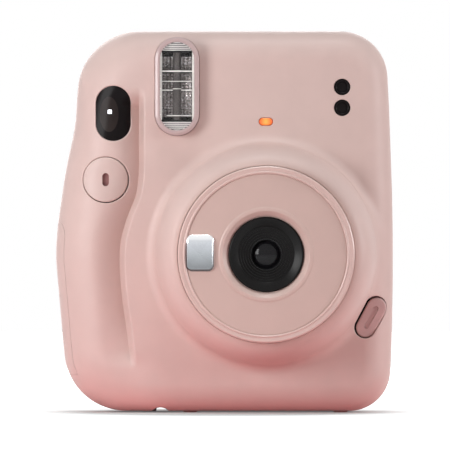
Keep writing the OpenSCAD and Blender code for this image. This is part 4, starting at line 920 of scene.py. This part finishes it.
def build_back():
    """Eyepiece, film counter window and feet."""
    low, high = box_mm("eyepiece_frame")
    w, h = front_size("eyepiece_frame")
    neck, hole = 2.12, 3.1
    profile = rounded([(0, BACK_Y, 0), (0, high[1], 0.5), (hole, high[1], 0.6), (hole, low[1], 0),
                       (neck, low[1], 0), (neck, BACK_Y, 0)])
    frame_ring = slab("eyepiece", EYE[0], EYE[2], inset_sections(w, h, w / 2, profile), loop=True)
    settle(frame_ring, "camera_body", ["eyepiece_frame"], "black_trim")
    lens = plate_for("eyepiece_lens", front_size("eyepiece_lens")[0] / 2, 0.3, 0.1)
    settle(lens, "camera_body", ["eyepiece_lens"], "optical_glass")
    low, high = box_mm("film_counter_window")
    r, face = (high - low)[0] / 2, high[1]
    profile = [(0.4, face), (r - 0.5, face - 0.02), (r - 0.15, face - 0.12), (r, face - 0.4), (r, low[1])]
    pane = turned("counter_window", profile, COUNTER_WINDOW[0], COUNTER_WINDOW[2], n=64)
    settle(pane, "camera_body", ["film_counter_window"], "clear_window")
    profile = [(0.3, 0.0), (FOOT_R - 0.5, 0.0), (FOOT_R - 0.15, 0.1), (FOOT_R, 0.35), (FOOT_R, FOOT_SEAT)]
    pads = [turned("foot", profile, x, y, upright=True, n=64) for x, y in FEET]
    # The feet's finish is painted lighter to stand in for light that they do not get under the body.
    settle(joined("feet", pads), "camera_body", ["feet"], "foot_rubber")


DIGITS = 11


def digit(number, mid, ring_r, face):
    """A plain number on the film counter, turned to its place on a ring round the dial's middle."""
    curve = bpy.data.curves.new("digit", "FONT")
    curve.body = str(number)
    curve.size = 2.6 * MM
    curve.extrude = 0.02 * MM
    curve.align_x = "CENTER"
    curve.align_y = "CENTER"
    text = bpy.data.objects.new("digit", curve)
    mesh = bpy.data.meshes.new_from_object(text)
    bpy.data.objects.remove(text)
    turn = number * math.tau / DIGITS
    c, s = math.cos(turn), math.sin(turn)
    for v in mesh.vertices:
        u, up, out = v.co / MM
        u = -ring_r - u
        v.co = Vector((mid[0] + c * u - s * up, face + 0.03 + out, mid[2] + s * u + c * up)) * MM
    return placed("digit", mesh)


def build_counter():
    """Film counter dial with plain numbers round its edge."""
    low, high = box_mm("film_counter_dial")
    mid = middle("film_counter_dial")
    r = (high - low)[0] / 2
    top, hub = high[1], low[1]
    bore_r, hub_r, disc_t = 1.6, 3.0, 1.2
    profile = rounded([(bore_r, hub, 0), (hub_r, hub, 0.1), (hub_r, top - disc_t, 0), (r, top - disc_t, 0.1),
                       (r, top, 0.2), (bore_r, top, 0.2)])
    dial = turned("dial", profile, mid[0], mid[2], loop=True, n=96)
    settle(dial, "counter", ["film_counter_dial"], "white_plastic")
    ring_r = abs(COUNTER_WINDOW[0] - mid[0]) + 0.6
    digits = [digit(k, mid, ring_r, top) for k in range(DIGITS)]
    settle(joined("numbers", digits), "counter", [], "black_trim", name="counter_numbers")


# Lens

# Angles of the small marks behind the rim
MARKS = (52, 19, -20, -90, -118, -153, 154, 86)
RIM_BACK = box_mm("lens_clear_rim")[1][1]
PLATE_FRONT, PLATE_BACK = box_mm("lens_face_plate")[0][1], RIM_BACK - 0.9
BARREL_R = size_of("lens_barrel")[0] / 2
PLATE_R = size_of("lens_face_plate")[0] / 2
BEZEL_FRONT, BEZEL_BACK = box_mm("lens_bezel")[0][1], box_mm("lens_bezel")[1][1]
BEZEL_R = size_of("lens_bezel")[0] / 2


def lens_turned(name, corners, steps=5):
    """Ring round the lens axis with a closed profile of rounded corners."""
    return turned(name, rounded(corners, steps), LENS_X, LENS_Z, loop=True, n=224)


def build_barrel():
    """Barrel with its rear web, and the sleeve of the close-up ring that slides in it."""
    low, high = box_mm("lens_barrel")
    wall, hole = 1.5, 13
    inner, web = BARREL_R - wall, high[1] - wall
    barrel = lens_turned("barrel", [
        (inner, low[1], 0.2), (BARREL_R, low[1], 0.35), (BARREL_R, high[1], 0.3), (hole, high[1], 0.2),
        (hole, web, 0.2), (inner, web, 0.4)])
    settle(barrel, "lens_unit", ["lens_barrel"], "lens_pink")
    low, high = box_mm("close_up_sleeve")
    tube_r, neck_r = BARREL_R - 1.6, PLATE_R - wall
    sleeve = lens_turned("sleeve", [
        (neck_r, low[1], 0), (PLATE_R, low[1], 0), (PLATE_R, RIM_BACK, 0), (BARREL_R, RIM_BACK, 0.15),
        (BARREL_R, RIM_BACK + wall, 0.15), (tube_r, RIM_BACK + wall, 0), (tube_r, high[1], 0.2),
        (tube_r - 1.4, high[1], 0.2), (tube_r - 1.4, RIM_BACK + 1, 0), (neck_r, RIM_BACK + 1, 0)])
    notch = [(2.0, 0.5, 0.1, RIM_BACK + y) for y in (-0.2, 0.7)]
    notch_r = BARREL_R - 1.1
    notches = []
    for mark in MARKS:
        x = LENS_X + notch_r * math.cos(math.radians(mark))
        z = LENS_Z + notch_r * math.sin(math.radians(mark))
        notches.append(slab("notch", x, z, notch, mark, n=16))
    settle(combine(sleeve, notches), "close_up_ring", ["close_up_sleeve"], "lens_pink")


# How deep the face plate is dished
DISH = 0.6


def build_face():
    """Face plate with its lip and funnel, and the rim round it."""
    hole_r, lip_in_r, lip_out_r, flat_r, funnel_r = BEZEL_R - 0.13, 13.75, 14.6, 15.1, 13.1
    y, lip_y, funnel_y = PLATE_FRONT, PLATE_FRONT + DISH - 0.22, PLATE_FRONT + 2.7
    plate = lens_turned("plate", [
        (hole_r, funnel_y, 0), (hole_r, y + 2.2, 0.1), (lip_in_r, lip_y, 0.35), (lip_out_r, lip_y, 0.35),
        (flat_r, y + DISH, 0.4), (PLATE_R - 0.3, y, 0.15), (PLATE_R, y + 0.1, 0.05), (PLATE_R, PLATE_BACK, 0),
        (flat_r, PLATE_BACK, 0), (funnel_r, funnel_y, 0)])
    settle(plate, "close_up_ring", ["lens_face_plate"], "lens_pink")
    inner = PLATE_R + 0.02
    clear_rim = lens_turned("rim", [
        (inner, RIM_BACK, 0.05), (inner, y - 0.3, 0.1), (inner + 0.45, y - 0.62, 0.2),
        (inner + 0.85, y - 0.32, 0.15), (BARREL_R - 0.45, y - 0.68, 0.2), (BARREL_R, y - 0.3, 0.25),
        (BARREL_R, RIM_BACK, 0.1)])
    settle(clear_rim, "close_up_ring", ["lens_clear_rim"], "clear_rim")


def build_mirror():
    """Small mirror beside the lens: a slightly crowned face set low in a sloping border."""
    low, high = box_mm("close_up_mirror")
    mid = middle("close_up_mirror") + [-0.3, 0, 0.45]
    w, h = front_size("close_up_mirror")
    face_w, face_h, face_r, drop = w - 1.0, h - 2.4, 1.3, -0.55
    face, back, crown = low[1] + 0.1, high[1], 0.1
    sections = []
    for s in (0.1, 0.4, 0.7, 0.9, 1.0):
        sections.append((face_w * s, face_h * s, face_r * s, face - crown * (1 - s * s), 0, drop))
    sections += [(w - 0.8, h - 2.0, 1.4, face + 0.07, 0, -0.5), (w - 0.25, h - 0.3, 1.8, back - 0.22),
                 (w, h, 1.9, back - 0.1), (w, h, 1.9, back + DISH)]
    mirror = slab("mirror", mid[0], mid[2], sections)
    # Its finish paints the reflection as bands, light at the top and darker below.
    settle(mirror, "close_up_ring", ["close_up_mirror"], "mirror_silver", 24)


def build_bezel():
    """Black ring with a conical mouth and fine steps down to the glass."""
    mouth, steps, pitch, step_h = 8.8, 5, 0.78, 0.56
    outer = BEZEL_R - 0.2
    corners = [(outer, BEZEL_BACK, 0), (outer, BEZEL_FRONT + 0.25, 0.3), (outer - 0.4, BEZEL_FRONT, 0.3),
               (mouth + 0.1, BEZEL_FRONT + 1.2, 0.15)]
    for k in range(steps):
        r, y = mouth - k * pitch, BEZEL_FRONT + 1.65 + k * step_h
        corners += [(r, y, 0.08), (r - pitch + 0.06, y, 0.05)]
    corners.append((mouth - steps * pitch, BEZEL_BACK, 0))
    bezel = lens_turned("bezel", corners, 3)
    settle(bezel, "lens_unit", ["lens_bezel"], "black_trim", 25, finish="lens_black")
    low, high = box_mm("front_lens")
    r_max, face = (high - low)[0] / 2, low[1] + 0.1
    curve_r, bulge, curve_end = 7.6, 1.4, 4.6
    profile = []
    for r in np.linspace(0.2, curve_end, 24):
        profile.append((r, low[1] - bulge + curve_r - math.sqrt(curve_r ** 2 - r * r)))
    profile += [(curve_end + 0.2, face), (r_max - 0.2, face), (r_max, face + 0.2), (r_max, high[1]),
                (0.3, high[1])]
    glass = turned("glass", profile, LENS_X, LENS_Z)
    settle(glass, "lens_unit", ["front_lens"], "optical_glass", finish="lens_glass")


# Flash, viewfinder, buttons and lamp

def build_flash():
    """Flash window: a clear pane in a milky border, ribbed ends and the reflector behind it."""
    outline = (FLASH_W, FLASH_H, FLASH_W / 2)
    front, back = FLASH_LOW[1], FLASH_HIGH[1]
    profile = rounded([(0, back, 0), (0, front + 0.6, 0.15), (0.2, front + 0.35, 0.1),
                       (0.9, front + 0.02, 0.1), (FLASH_BORDER, front + 0.1, 0.1), (FLASH_BORDER, back, 0)])
    border = slab("border", FLASH[0], FLASH[2], inset_sections(*outline, profile), loop=True, n=128)
    settle(border, "camera_body", ["flash_window"], "clear_window", name="flash_border_look",
           finish="flash_border")
    i = FLASH_BORDER + 0.03
    inner = (FLASH_W - 2 * i, FLASH_H - 2 * i, FLASH_W / 2 - i)
    pane = slab("pane", FLASH[0], FLASH[2],
                edge_sections(*inner, front + 0.1, front + 1.5, 0.15, 0.0, 0.15), n=128)
    settle(pane, "camera_body", ["flash_window"], "clear_window", name="flash_pane_look",
           finish="flash_pane")
    low, high = box_mm("flash_reflector")
    build_flash_ends(inner, low[2], high[2])
    build_reflector(low, high)


def build_flash_ends(outline, low_z, high_z):
    """White plates behind both ends of the pane, the floors of their grooves painted dark as shade."""
    front = FLASH_LOW[1]
    first, pitch, half, count = 0.45, 0.6, 0.15, 5
    ends = []
    for end, edge in ((1, high_z), (-1, low_z)):
        plate = slab("end", FLASH[0], FLASH[2], [(*outline, front + y) for y in (1.6, 3.4)], n=128)
        reach = sorted((edge, edge + end * 9))
        combine(plate, [block("keep", (-60, -30, reach[0]), (60, 0, reach[1]))], "INTERSECT")
        grooves = []
        for k in range(count):
            z = edge + end * (first + pitch * k)
            grooves.append(block("groove", (-60, front, z - half), (60, front + 2.2, z + half)))
        ends.append(combine(plate, grooves))
    ribs = settle(joined("ends", ends), "camera_body", ["flash_window"], "clear_window",
                  name="flash_ribs_look", finish="flash_ribs")
    ribs.data.materials.append(FINISH["flash_groove_shade"])
    # Faces deep in the grooves get the dark finish: painted shade in the grooves.
    for face in ribs.data.polygons:
        if face.center.y / MM > front + 1.7:
            face.material_index = 1


# Bright bars over the reflector: where they start and end across, height over its lower end, thickness
FLASH_BARS = ((0, 1, 16.1, 0.42), (0, 1, 12.9, 0.2), (0, 0.36, 10.1, 0.26), (0.36, 0.64, 10.5, 0.2),
              (0.64, 1, 10.1, 0.28), (0.15, 1, 2.0, 0.3))


FOIL_WALL = 0.65
# Dark lines down the reflector: place across and half width
FOIL_LINES = ((-0.65, 0.23), (0.6, 0.13))


def foil_grid(low, high):
    """Hollow floor of the reflector with a fine grid of ridges, closed at its sides and back."""
    (x0, y0, z0), (x1, y1, z1) = low, high
    mid_x = (x0 + x1) / 2
    gx, gz = np.meshgrid(np.linspace(x0 + FOIL_WALL, x1 - FOIL_WALL, 61),
                         np.linspace(z0 + FOIL_WALL, z1 - FOIL_WALL, 121))
    u = (gx - mid_x) / ((x1 - x0) / 2 - FOIL_WALL)
    floor = y0 + 2.3 + 0.6 * np.sqrt(np.clip(1 - 0.92 * u * u, 0, 1))
    ridge = np.abs((gx - mid_x) / 0.95 % 1 - 0.5) + np.abs((gz - z0) / 1.05 % 1 - 0.5)
    front = np.stack([gx, floor + 0.3 * ridge, gz], -1).reshape(-1, 3)
    back = front * [1, 0, 1] + [0, y1, 0]
    half, cols = gx.size, gx.shape[1]
    index = np.arange(half).reshape(gx.shape)
    i = index[:-1, :-1].ravel()
    fore = np.stack([i, i + 1, i + cols + 1, i + cols], 1)
    aft = half + np.stack([i, i + cols, i + cols + 1, i + 1], 1)
    border = np.concatenate([index[0], index[1:, -1], index[-1, -2::-1], index[-2:0:-1, 0]])
    after = np.roll(border, -1)
    sides = np.stack([border, half + border, half + after, after], 1)
    faces = np.concatenate([np.stack([fore, aft], 1).reshape(-1, 4), sides]).tolist()
    return make("grid", np.concatenate([front, back]), faces)


def build_reflector(low, high):
    """Foil tray: bright side walls, a hollow floor with a fine grid of ridges, thin bars across."""
    (x0, y0, z0), (x1, y1, z1) = low, high
    parts = [foil_grid(low, high)]
    for a, b in ((x0, x0 + FOIL_WALL), (x1 - FOIL_WALL, x1)):
        parts.append(block("side", (a, FLASH_LOW[1] + 1.7, z0), (b, y1, z1)))
    for a, b in ((z0, z0 + FOIL_WALL), (z1 - FOIL_WALL, z1)):
        parts.append(block("end", (x0, y0 + 0.6, a), (x1, y1, b)))
    start, span = x0 + FOIL_WALL, x1 - x0 - 2 * FOIL_WALL
    for a, b, up, thick in FLASH_BARS:
        parts.append(block("bar", (start + a * span, y0 + 0.3, z0 + up - thick / 2),
                           (start + b * span, y0 + 2.7, z0 + up + thick / 2)))
    tray = settle(joined("reflector", parts), "camera_body", ["flash_reflector"], "reflector_foil", 20)
    for extra in ("black_trim", "white_plastic", "bright_steel"):
        tray.data.materials.append(FINISH[extra])
    paint_foil(tray, low, high)


def paint_foil(tray, low, high):
    """White walls and bars, dark lines between the ridges, and a few bright flecks."""
    foil, dark, white, bright = range(4)
    height = high[2] - low[2]
    mid_x, half_span = (low[0] + high[0]) / 2, (high[0] - low[0]) / 2 - FOIL_WALL
    chance = np.random.default_rng(4)
    for face in tray.data.polygons:
        x, y, z = face.center / MM
        across, up = x - mid_x, z - low[2]
        in_line = any(abs(across - at) < half for at, half in FOIL_LINES) or abs(up - FLASH_BARS[0][2]) < 0.6
        at_end = up < FOIL_WALL + 0.01 or up > height - FOIL_WALL - 0.01
        face.material_index = foil
        if abs(across) > half_span - 0.01 or (y < low[1] + 1.6 and not at_end):
            face.material_index = white
        elif in_line or up < 1.5 or up > height - 1.9:
            face.material_index = dark
        elif (across / 1.1 % 1 < 0.2 or up / 0.95 % 1 < 0.18) and chance.random() < 0.6:
            face.material_index = dark
        elif chance.random() < 0.1:
            face.material_index = bright


def build_finder():
    """Glossy viewfinder window with a faint oval lens, lighter than the window as a painted reflection, and a
    peep hole.
    """
    w, h = FINDER_W - 0.3, FINDER_H - 0.35
    recess, bulge = 0.4, 0.12
    oval_mid, oval_half = np.array([-1.35, -0.3]), np.array([3.0, 5.6])
    peep_low, peep_high = (-1.78, -0.1), (-0.5, 1.18)
    a = np.linspace(0, 2 * np.pi, 96, endpoint=False)
    oval = oval_mid + oval_half * np.stack([np.cos(a), np.sin(a)], 1)
    window, lens = [], []
    for s in (0.04, 0.15, 0.3, 0.45, 0.6, 0.75, 0.88, 0.96, 1.0):
        window.append(sunk_by((FINDER_AT + rim(w * s, h * s, w / 2 * s)).T, recess))
        lens.append(sunk_by((FINDER_AT + oval * s).T, recess - 0.02 - bulge * (1 - s * s)))
    window.append(window[-1] * [1, 0, 1] + [0, -2.0, 0])
    lens.append(lens[-1] + [0, 0.3, 0])
    x, z = FINDER_AT
    for name, rings, finish in (("viewfinder_window_look", window, "black_gloss"),
                                ("viewfinder_oval_look", lens, "finder_lens_reflection")):
        peep = block("peep", (x + peep_low[0], -12, z + peep_low[1]),
                     (x + peep_high[0], 0, z + peep_high[1]), 0.1)
        settle(combine(loft(name, rings), [peep]), "camera_body", ["viewfinder_window"], "black_gloss",
               name=name, finish=finish)


def build_finder_inside():
    """The glass behind the viewfinder window, and the stepped tube to the eyepiece."""
    high = box_mm("viewfinder_objective")[1]
    w, h = front_size("viewfinder_objective")
    lens = slab("objective", FINDER[0], FINDER[2],
                edge_sections(w, h, w / 2, high[1] + 0.4, high[1] + 2, 0.2, 0.1, 0.2))
    settle(lens, "camera_body", ["viewfinder_objective"], "optical_glass")
    start, step_y, end = -1.8, SPLIT_Y + 2, box_mm("viewfinder_tube")[1][1]
    wall = 0.9
    wide = front_size("viewfinder_tube")
    narrow = np.array([FINDER_W - 2.3, FINDER_H - 3.8])
    sections = oblongs(*wide, start, step_y) + oblongs(*narrow, step_y, end)
    sections += oblongs(*(narrow - 2 * wall), end, step_y - wall)
    sections += oblongs(*(wide - 2 * wall), step_y - wall, start)
    tube = slab("tube", FINDER[0], FINDER[2], sections, loop=True)
    settle(tube, "camera_body", ["viewfinder_tube"], "black_inner")


def button_ring(r):
    """X and Z of a circle round the middle of the shutter button."""
    a = np.linspace(0, 2 * np.pi, 128, endpoint=False)
    return BUTTON[0] + r * np.cos(a), BUTTON[2] + r * np.sin(a)


def build_shutter_button():
    """Round cap that follows the grip, softly dished round an upright slot, on a stem."""
    soft, dish, dish_r, proud, skirt = 0.35, 0.3, 3.4, 0.05, 0.7
    stem_r, cap_back, stem_back = 2.2, FRONT_Y + 5.0, box_mm("shutter_button")[1][1]
    steps = [(r, 0.0) for r in np.linspace(0.3, BUTTON_CAP_R - soft, 22)]
    for t in np.linspace(0.2, 1.57, 7):
        steps.append((BUTTON_CAP_R - soft * (1 - math.sin(t)), soft * (1 - math.cos(t))))
    rings = [sunk_by(button_ring(r), sink - proud + dish * math.exp(-(r / dish_r) ** 2)) for r, sink in steps]
    for r, least in ((BUTTON_CAP_R, cap_back), (stem_r, cap_back), (stem_r, stem_back)):
        ring = sunk_by(button_ring(r), skirt)
        rings.append(np.maximum(ring, [-np.inf, least, -np.inf]))
    cap = loft("cap", rings)
    slot_w, slot_h, slot_deep = 2.1, 4.2, 1.6
    slot_y = float(front_y(BUTTON[:1], BUTTON[2:])[0]) + slot_deep
    slot = slab("slot", BUTTON[0], BUTTON[2], oblongs(slot_w, slot_h, slot_y, FRONT_Y - 5))
    settle(combine(cap, [slot]), "shutter_key", ["shutter_button"], "button_pink", 40)
    cap.data.materials.append(FINISH["slot_shade"])
    for face in cap.data.polygons:
        x, y, z = face.center / MM
        inside = abs(x - BUTTON[0]) < slot_w / 2 + 0.02 and abs(z - BUTTON[2]) < slot_h / 2 + 0.02
        if inside and slot_y - 1.2 < y < slot_y + 0.01:
            face.material_index = 1


def build_power_button():
    """Leaning oblong cap with a groove along it, on a stem."""
    low, high = box_mm("power_button")
    face, cap_back = low[1], low[1] + 3.2
    sections = edge_sections(POWER_W, POWER_LEN, POWER_W / 2, face + 0.1, cap_back, 0.55, 0.1, 0.1)
    cap = slab("power", *POWER_AT, sections, POWER_TURN)
    groove = oblongs(1.4, 7.9, face + 0.6) + oblongs(1.7, 8.2, face - 0.5)
    combine(cap, [slab("groove", *POWER_AT, groove, POWER_TURN)])
    stem = turned("stem", [(1.6, cap_back - 0.2), (1.6, high[1])], *(POWER_AT - 1.2 * POWER_WAY), n=48)
    settle(combine(cap, [stem], "UNION"), "power_key", ["power_button"], "dark_pink")


def build_lamp():
    """Ready lamp, and the two light sensors with a ring round each."""
    low, high = box_mm("ready_lamp")
    sections = edge_sections(LAMP_W, LAMP_H, LAMP_H / 2, low[1] + 0.1, high[1], 0.4, 0.1, 0.1)
    settle(slab("lamp", LAMP[0], LAMP[2], sections), "camera_body", ["ready_lamp"], "lamp_orange")
    low, high = SENSORS
    y, r = low[1], SENSOR_R
    profile = [(0.2, y + 0.3), (1.0, y + 0.33), (1.5, y + 0.45), (1.62, y + 0.5), (1.7, y + 0.25),
               (1.95, y + 0.05), (2.15, y), (r - 0.1, y + 0.05), (r, y + 0.2), (r, high[1])]
    eyes = [turned("eye", profile, SENSOR_X, z, n=96) for z in SENSOR_ZS]
    settle(joined("sensors", eyes), "camera_body", ["light_sensors"], "black_gloss")


# Finishes of the nodes that stay as packed

def paint_nodes():
    """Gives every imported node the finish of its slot."""
    for entry in frame["record"]["subparts"]:
        obj = frame["nodes"][entry["node"]]
        obj.data.materials.clear()
        obj.data.materials.append(FINISH[entry["material_slot"]])


# Light, floor and camera

AMBIENT = 0.24
FLOOR_HALF = 3.0
# Floor as it is seen, and the light that it throws back, next to the part and further off
FLOOR_SEEN = (0.54, 0.58, 0.58, 1)
BOUNCE_REACH = 0.16
BOUNCE_NEAR = (1.0, 0.44, 0.46, 1)
BOUNCE_FAR = (0.72, 0.56, 0.55, 1)
# Reach of the floor's white seen by the camera, across and along the view, and where it fades in. Next to the
# part the white is held low, so the floor there stays grey: a painted shadow round the part, added to its
# real shadow
LIFT_REACH = (0.06, 0.085)
LIFT_FROM, LIFT_TO = 0.7, 1.25
LIFT_LEAST = 0.12
# Lamps: place, side and power
LAMPS = {
    "left": ((-0.25, -0.25, 0.12), 0.15, 0.69),
    "top": ((0, -0.17, 0.74), 0.25, 1.52),
    "right": ((0.666, -0.178, 0.182), 0.25, 2.0),
    "rear": ((-0.1, 1.1, 0.4), 0.8, 6.0),
}
LAMP_AIM = (0, 0, 0.06)
# Width of the picture in the plane of sight, the point that the camera looks at, and its lens
FRAME_W = 143.37
SIGHT = (0.22, SPLIT_Y, 59.6)
FOCAL, SENSOR = 1000.0, 36.0


def distance(tree, coord, reach_x, reach_y):
    """Distance from the origin, measured in a reach along each axis."""
    scaled = add(tree, "Mapping", {"Vector": coord, "Scale": (1 / reach_x, 1 / reach_y, 1)})
    return add(tree, "VectorMath", {0: scaled.outputs["Vector"]}, operation="LENGTH").outputs["Value"]


def seen_rays(tree, level, other=0.0):
    """A strength for rays that show the background, straight, mirrored or through glass, and another."""
    path = add(tree, "LightPath", {}).outputs
    seen = path["Is Camera Ray"]
    for ray in ("Is Glossy Ray", "Is Transmission Ray"):
        seen = add(tree, "Math", {0: seen, 1: path[ray]}, operation="MAXIMUM").outputs[0]
    return add(tree, "MapRange", {"Value": seen, "To Min": other, "To Max": level}).outputs["Result"]


def build_floor():
    """Pale floor with the part's real shadow and a painted shadow round it: grey next to the part, fading to
    the white of the background.
    """
    s = FLOOR_HALF
    mesh = bpy.data.meshes.new("floor")
    mesh.from_pydata([(-s, -s, 0), (s, -s, 0), (s, s, 0), (-s, s, 0)], [], [(0, 1, 2, 3)])
    floor = placed("floor", mesh)
    made, tree, bsdf, coord = new_finish("floor")
    seen = seen_rays(tree, 1.0)
    near = distance(tree, coord, BOUNCE_REACH, BOUNCE_REACH)
    bounce = ramp(tree, near, [(0.3, BOUNCE_NEAR), (1.0, BOUNCE_FAR)])
    tint = add(tree, "Mix", {"A": bounce, "B": FLOOR_SEEN, "Factor": seen}, data_type="RGBA")
    # The white fades in away from the part. Next to it the floor is left grey: a painted shadow.
    fade = add(tree, "MapRange", {"Value": distance(tree, coord, *LIFT_REACH), "From Min": LIFT_FROM,
                                  "From Max": LIFT_TO, "To Min": LIFT_LEAST})
    glow = add(tree, "Math", {0: fade.outputs["Result"], 1: seen}, operation="MULTIPLY")
    feed(tree, bsdf, {
        "Base Color": tint.outputs["Result"],
        "Roughness": 0.9,
        "Specular IOR Level": 0.0,
        "Emission Color": (1, 1, 1, 1),
        "Emission Strength": glow.outputs[0],
    })
    mesh.materials.append(made)


def build_world():
    """White background, and a dimmer even light on the part."""
    world = bpy.data.worlds.new("studio")
    bpy.context.scene.world = world
    world.use_nodes = True
    tree = world.node_tree
    feed(tree, tree.nodes["Background"], {"Color": (1, 1, 1, 1), "Strength": seen_rays(tree, 1.0, AMBIENT)})


def build_light():
    """Soft square lamps, all aimed at the middle of the part."""
    for name, (place, side, watts) in LAMPS.items():
        data = bpy.data.lights.new(name, "AREA")
        data.shape = "RECTANGLE"
        data.size = side
        data.size_y = side
        data.energy = watts
        lamp = placed(name, data)
        lamp.location = place
        way = Vector(LAMP_AIM) - Vector(place)
        lamp.rotation_euler = way.to_track_quat("-Z", "Y").to_euler()
    bpy.context.scene.view_settings.view_transform = "Standard"


def build_camera():
    """Camera far in front of the part with a long lens, as in the photo."""
    data = bpy.data.cameras.new("view")
    data.lens = FOCAL
    data.sensor_width = SENSOR
    data.clip_end = 100
    camera = placed("view", data)
    away = FRAME_W * FOCAL / SENSOR
    camera.location = Vector((SIGHT[0], SIGHT[1] - away, SIGHT[2])) * MM
    camera.rotation_euler = (math.pi / 2, 0, 0)
    bpy.context.scene.camera = camera


def main():
    """Builds every piece, then the stage."""
    paint_nodes()
    build_shells()
    build_door()
    build_back()
    build_counter()
    build_barrel()
    build_face()
    build_mirror()
    build_bezel()
    build_flash()
    build_finder()
    build_finder_inside()
    build_shutter_button()
    build_power_button()
    build_lamp()
    build_floor()
    build_world()
    build_light()
    build_camera()


main()
